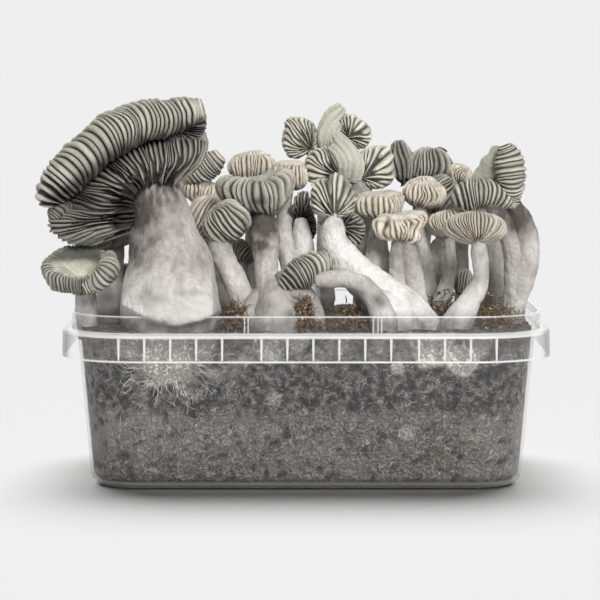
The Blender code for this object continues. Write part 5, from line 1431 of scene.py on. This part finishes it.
# ---------------------------------------------------------------- light
def light_group(name, one, state="INCLUDE"):
    """A collection that says that a lamp lights one object or leaves it out, or takes its shadow."""
    made = bpy.data.collections.new(name)
    made.objects.link(one)
    made.collection_objects[0].light_linking.link_state = state
    return made


def sun(name, power, width, tilt):
    """A distant lamp: its width in degrees softens the shadows."""
    light = bpy.data.lights.new(name, "SUN")
    light.energy = power
    light.angle = math.radians(width)
    lamp = bpy.data.objects.new(name, light)
    lamp.rotation_euler = (math.radians(tilt[0]), math.radians(tilt[1]), 0.0)
    bpy.context.scene.collection.objects.link(lamp)
    return lamp


# ---------------------------------------------------------------- operators
class KIT_OT_tub(bpy.types.Operator):
    """Mould the clear tub with its flange, skirt, gussets and collar"""

    bl_idname = "kit.tub"
    bl_label = "Tub"

    def execute(self, context):
        bodies = [skin(*tub_profile())]
        for first, count in RIB_GROUPS:
            bodies += [milky(gusset(first + RIB_PITCH * i, side), RIB_MILK)
                       for i in range(count) for side in (-1, 1)]
        bodies += [milky(collar_mark(x, width, side), MARK_MILK)
                   for x, width in COLLAR_MARKS for side in (-1, 1)]
        keep(piece("clear_tub", bodies, finish("tub_plastic"), sharp=40), "tub_plastic", "tub")
        return {"FINISHED"}


class KIT_OT_substrate(bpy.types.Operator):
    """Fill the tub with the grown-through substrate"""

    bl_idname = "kit.substrate"
    bl_label = "Substrate"

    def execute(self, context):
        keep(piece("grown_substrate", [soil_body()], finish("substrate")), "substrate", "substrate")
        return {"FINISHED"}


class KIT_OT_threads(bpy.types.Operator):
    """Lay mycelium threads between the substrate and the wall"""

    bl_idname = "kit.threads"
    bl_label = "Mycelium threads"

    def execute(self, context):
        rng = np.random.default_rng(7)
        loop = wall_loop()
        places = loop[0]
        front = np.where(places[:, 1] < -50.0)[0]  # those along the front wall
        foot_at = front[np.argmin(abs(places[front, 0] - FOOT_X))] * THREAD_STEP
        bodies = []
        for _ in range(FOOT_THREADS):
            angle = rng.uniform(-math.pi * 0.98, -0.02 * math.pi)
            out = rng.uniform(8.5, 12.5)
            at, z = foot_at + out * math.cos(angle), FOOT_Z + out * 0.85 * math.sin(angle)
            length, radius = rng.uniform(4, 17), rng.uniform(0.06, 0.16)
            bodies.append(wall_thread(rng, loop, at, z, angle, length, radius, 0.24))
        total = len(places) * THREAD_STEP
        for _ in range(context.scene.kit_sizes.threads):
            at, z = rng.uniform(0, total), 5.0 + 54.0 * rng.uniform(0, 1) ** 1.1
            angle, length = rng.uniform(0, 2 * math.pi), rng.uniform(2.0, 6.5)
            bodies.append(wall_thread(rng, loop, at, z, angle, length, rng.uniform(0.04, 0.09), 0.6))
        bodies = [body for body in bodies if body]
        keep(piece("mycelium_threads", bodies, finish("threads")), "substrate")
        return {"FINISHED"}


class KIT_OT_casing(bpy.types.Operator):
    """Heap crumbs of casing on top of the substrate"""

    bl_idname = "kit.casing"
    bl_label = "Casing crumbs"

    def execute(self, context):
        rng = np.random.default_rng(11)
        bodies = []
        for middle, half, share in HEAPS:
            for i in range(int(context.scene.kit_sizes.crumbs * share)):
                spot = rng.normal(0, 0.5, 3)  # most of them near the heap's middle
                spot = np.array(middle) + spot / max(1.0, np.linalg.norm(spot)) * np.array(half)
                if i % (1 + STRAW_PER_CRUMB) == 0:
                    bodies.append(crumb_body(rng, spot, rng.uniform(0.25, 0.7)))
                else:
                    bodies.append(twig_body(rng, spot, rng.uniform(1.6, 5.5), rng.uniform(0.12, 0.30)))
        keep(piece("casing_crumbs", bodies, finish("casing")), "substrate")
        return {"FINISHED"}


class KIT_OT_stems(bpy.types.Operator):
    """Grow the white stems"""

    bl_idname = "kit.stems"
    bl_label = "Stems"

    def execute(self, context):
        bumps = context.scene.kit_sizes.stem_bumps
        for i, (name, points) in enumerate(STEMS.items()):
            cottony = COTTON.get(name, PLAIN_COTTON)
            bruises = BRUISES.get(name, ())
            lip = GIANT_LIP if name == "giant_stem" else None
            lumpy = WART_LUMPS * bumps if name == "wart" else bumps
            dark_top = DARK_TOPS.get(name, PLAIN_TOP)
            bodies = [stem_body(points, bruises, STEM_SEED + i, lumpy, cottony, dark_top, lip)]
            bodies += [stem_body(foot, bruises, FOOT_SEED + i, bumps, cottony)
                       for foot in FEET.get(name, ())]
            keep(piece(name + "_flesh", bodies, finish("stem_flesh")), "stem_flesh", name)
        twins = [stem_body(points, BRUISES["ear_stem"], EAR_SEED + i, bumps, EAR_COTTON)
                 for i, points in enumerate(EAR_STEMS)]
        keep(piece("ear_stem_flesh", twins, finish("stem_flesh")), "stem_flesh", "ear_stem")
        return {"FINISHED"}


class KIT_OT_giant_cap(bpy.types.Operator):
    """Grow the giant mushroom's folded cap"""

    bl_idname = "kit.giant_cap"
    bl_label = "Giant cap"

    def execute(self, context):
        grow_caps(["giant_cap"])
        return {"FINISHED"}


class KIT_OT_small_caps(bpy.types.Operator):
    """Grow all the smaller caps"""

    bl_idname = "kit.small_caps"
    bl_label = "Smaller caps"

    def execute(self, context):
        grow_caps([name for name in CAPS if name != "giant_cap"])
        return {"FINISHED"}


class KIT_OT_stage(bpy.types.Operator):
    """Set the floor, the light and the camera"""

    bl_idname = "kit.stage"
    bl_label = "Stage"

    def execute(self, context):
        scene = context.scene
        sizes = scene.kit_sizes
        floor_mesh = bpy.data.meshes.new("floor")
        corners = [(x * FLOOR_HALF, y * FLOOR_HALF, 0) for x, y in ((-1, -1), (1, -1), (1, 1), (-1, 1))]
        floor_mesh.from_pydata(corners, [], [(0, 1, 2, 3)])
        floor = bpy.data.objects.new("floor", floor_mesh)
        floor.location.z = -FLOOR_GAP
        floor_mesh.materials.append(finish("floor"))
        scene.collection.objects.link(floor)
        floor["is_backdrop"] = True
        world = bpy.data.worlds.new("studio")
        world.use_nodes = True
        tree = world.node_tree
        background = tree.nodes["Background"]
        seen = tree.nodes.new("ShaderNodeLightPath")
        direct = math_node(tree, "MAXIMUM", seen.outputs["Is Camera Ray"], seen.outputs["Is Glossy Ray"])
        brightness = math_node(tree, "MULTIPLY_ADD", direct, BACKDROP - DIM_WORLD, DIM_WORLD)
        tree.links.new(brightness, background.inputs["Strength"])
        background.inputs["Color"].default_value = (1.0, 1.0, 1.0, 1.0)
        scene.world = world
        powers = dict(key=sizes.key_power, fill=sizes.fill_power, back=sizes.back_power)
        not_the_floor = light_group("not_the_floor", floor, "EXCLUDE")
        for name, power in powers.items():
            sun(name, power, *LAMPS[name]).light_linking.receiver_collection = not_the_floor
        wash = sun("floor_wash", sizes.floor_power, *LAMPS["floor_wash"])
        wash.light_linking.receiver_collection = light_group("the_floor", floor)
        block_alone = light_group("the_block", bpy.data.objects["grown_substrate"])
        wash.light_linking.blocker_collection = block_alone
        lens = bpy.data.cameras.new("camera")
        lens.lens = CAMERA_LENS
        lens.clip_end = VIEW_FAR
        camera = bpy.data.objects.new("camera", lens)
        camera.location = [value * MM for value in CAMERA_AT]
        camera.rotation_euler = (math.radians(90 - CAMERA_DOWN), 0.0, 0.0)
        scene.collection.objects.link(camera)
        scene.camera = camera
        scene.view_settings.view_transform = "Standard"
        scene.cycles.transparent_max_bounces = THROUGH_PLASTIC
        return {"FINISHED"}


class KIT_PT_panel(bpy.types.Panel):
    bl_idname = "KIT_PT_panel"
    bl_label = "Mushroom grow kit"
    bl_space_type = "VIEW_3D"
    bl_region_type = "UI"
    bl_category = "Grow kit"

    def draw(self, context):
        for step in STEPS:
            self.layout.operator(step.bl_idname)
        for group in (context.scene.kit_sizes, context.scene.kit_colours):
            for name in group.__annotations__:
                self.layout.prop(group, name)


STEPS = (KIT_OT_tub, KIT_OT_substrate, KIT_OT_threads, KIT_OT_casing, KIT_OT_stems, KIT_OT_giant_cap,
         KIT_OT_small_caps, KIT_OT_stage)
CLASSES = (KitSizes, KitColours, *STEPS, KIT_PT_panel)


def register():
    for item in CLASSES:
        bpy.utils.register_class(item)
    bpy.types.Scene.kit_sizes = PointerProperty(type=KitSizes)
    bpy.types.Scene.kit_colours = PointerProperty(type=KitColours)


def unregister():
    del bpy.types.Scene.kit_sizes
    del bpy.types.Scene.kit_colours
    for item in reversed(CLASSES):
        bpy.utils.unregister_class(item)


def main():
    """Builds the whole kit and finds the sizes of the CAD model and of the visual model."""
    register()
    bpy.ops.kit.tub()
    bpy.ops.kit.substrate()
    bpy.ops.kit.threads()
    bpy.ops.kit.casing()
    bpy.ops.kit.stems()
    bpy.ops.kit.giant_cap()
    bpy.ops.kit.small_caps()
    bpy.ops.kit.stage()
    boxes = {"cad": CAD_BOX, "visual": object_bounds()}


if __name__ == "__main__":
    main()
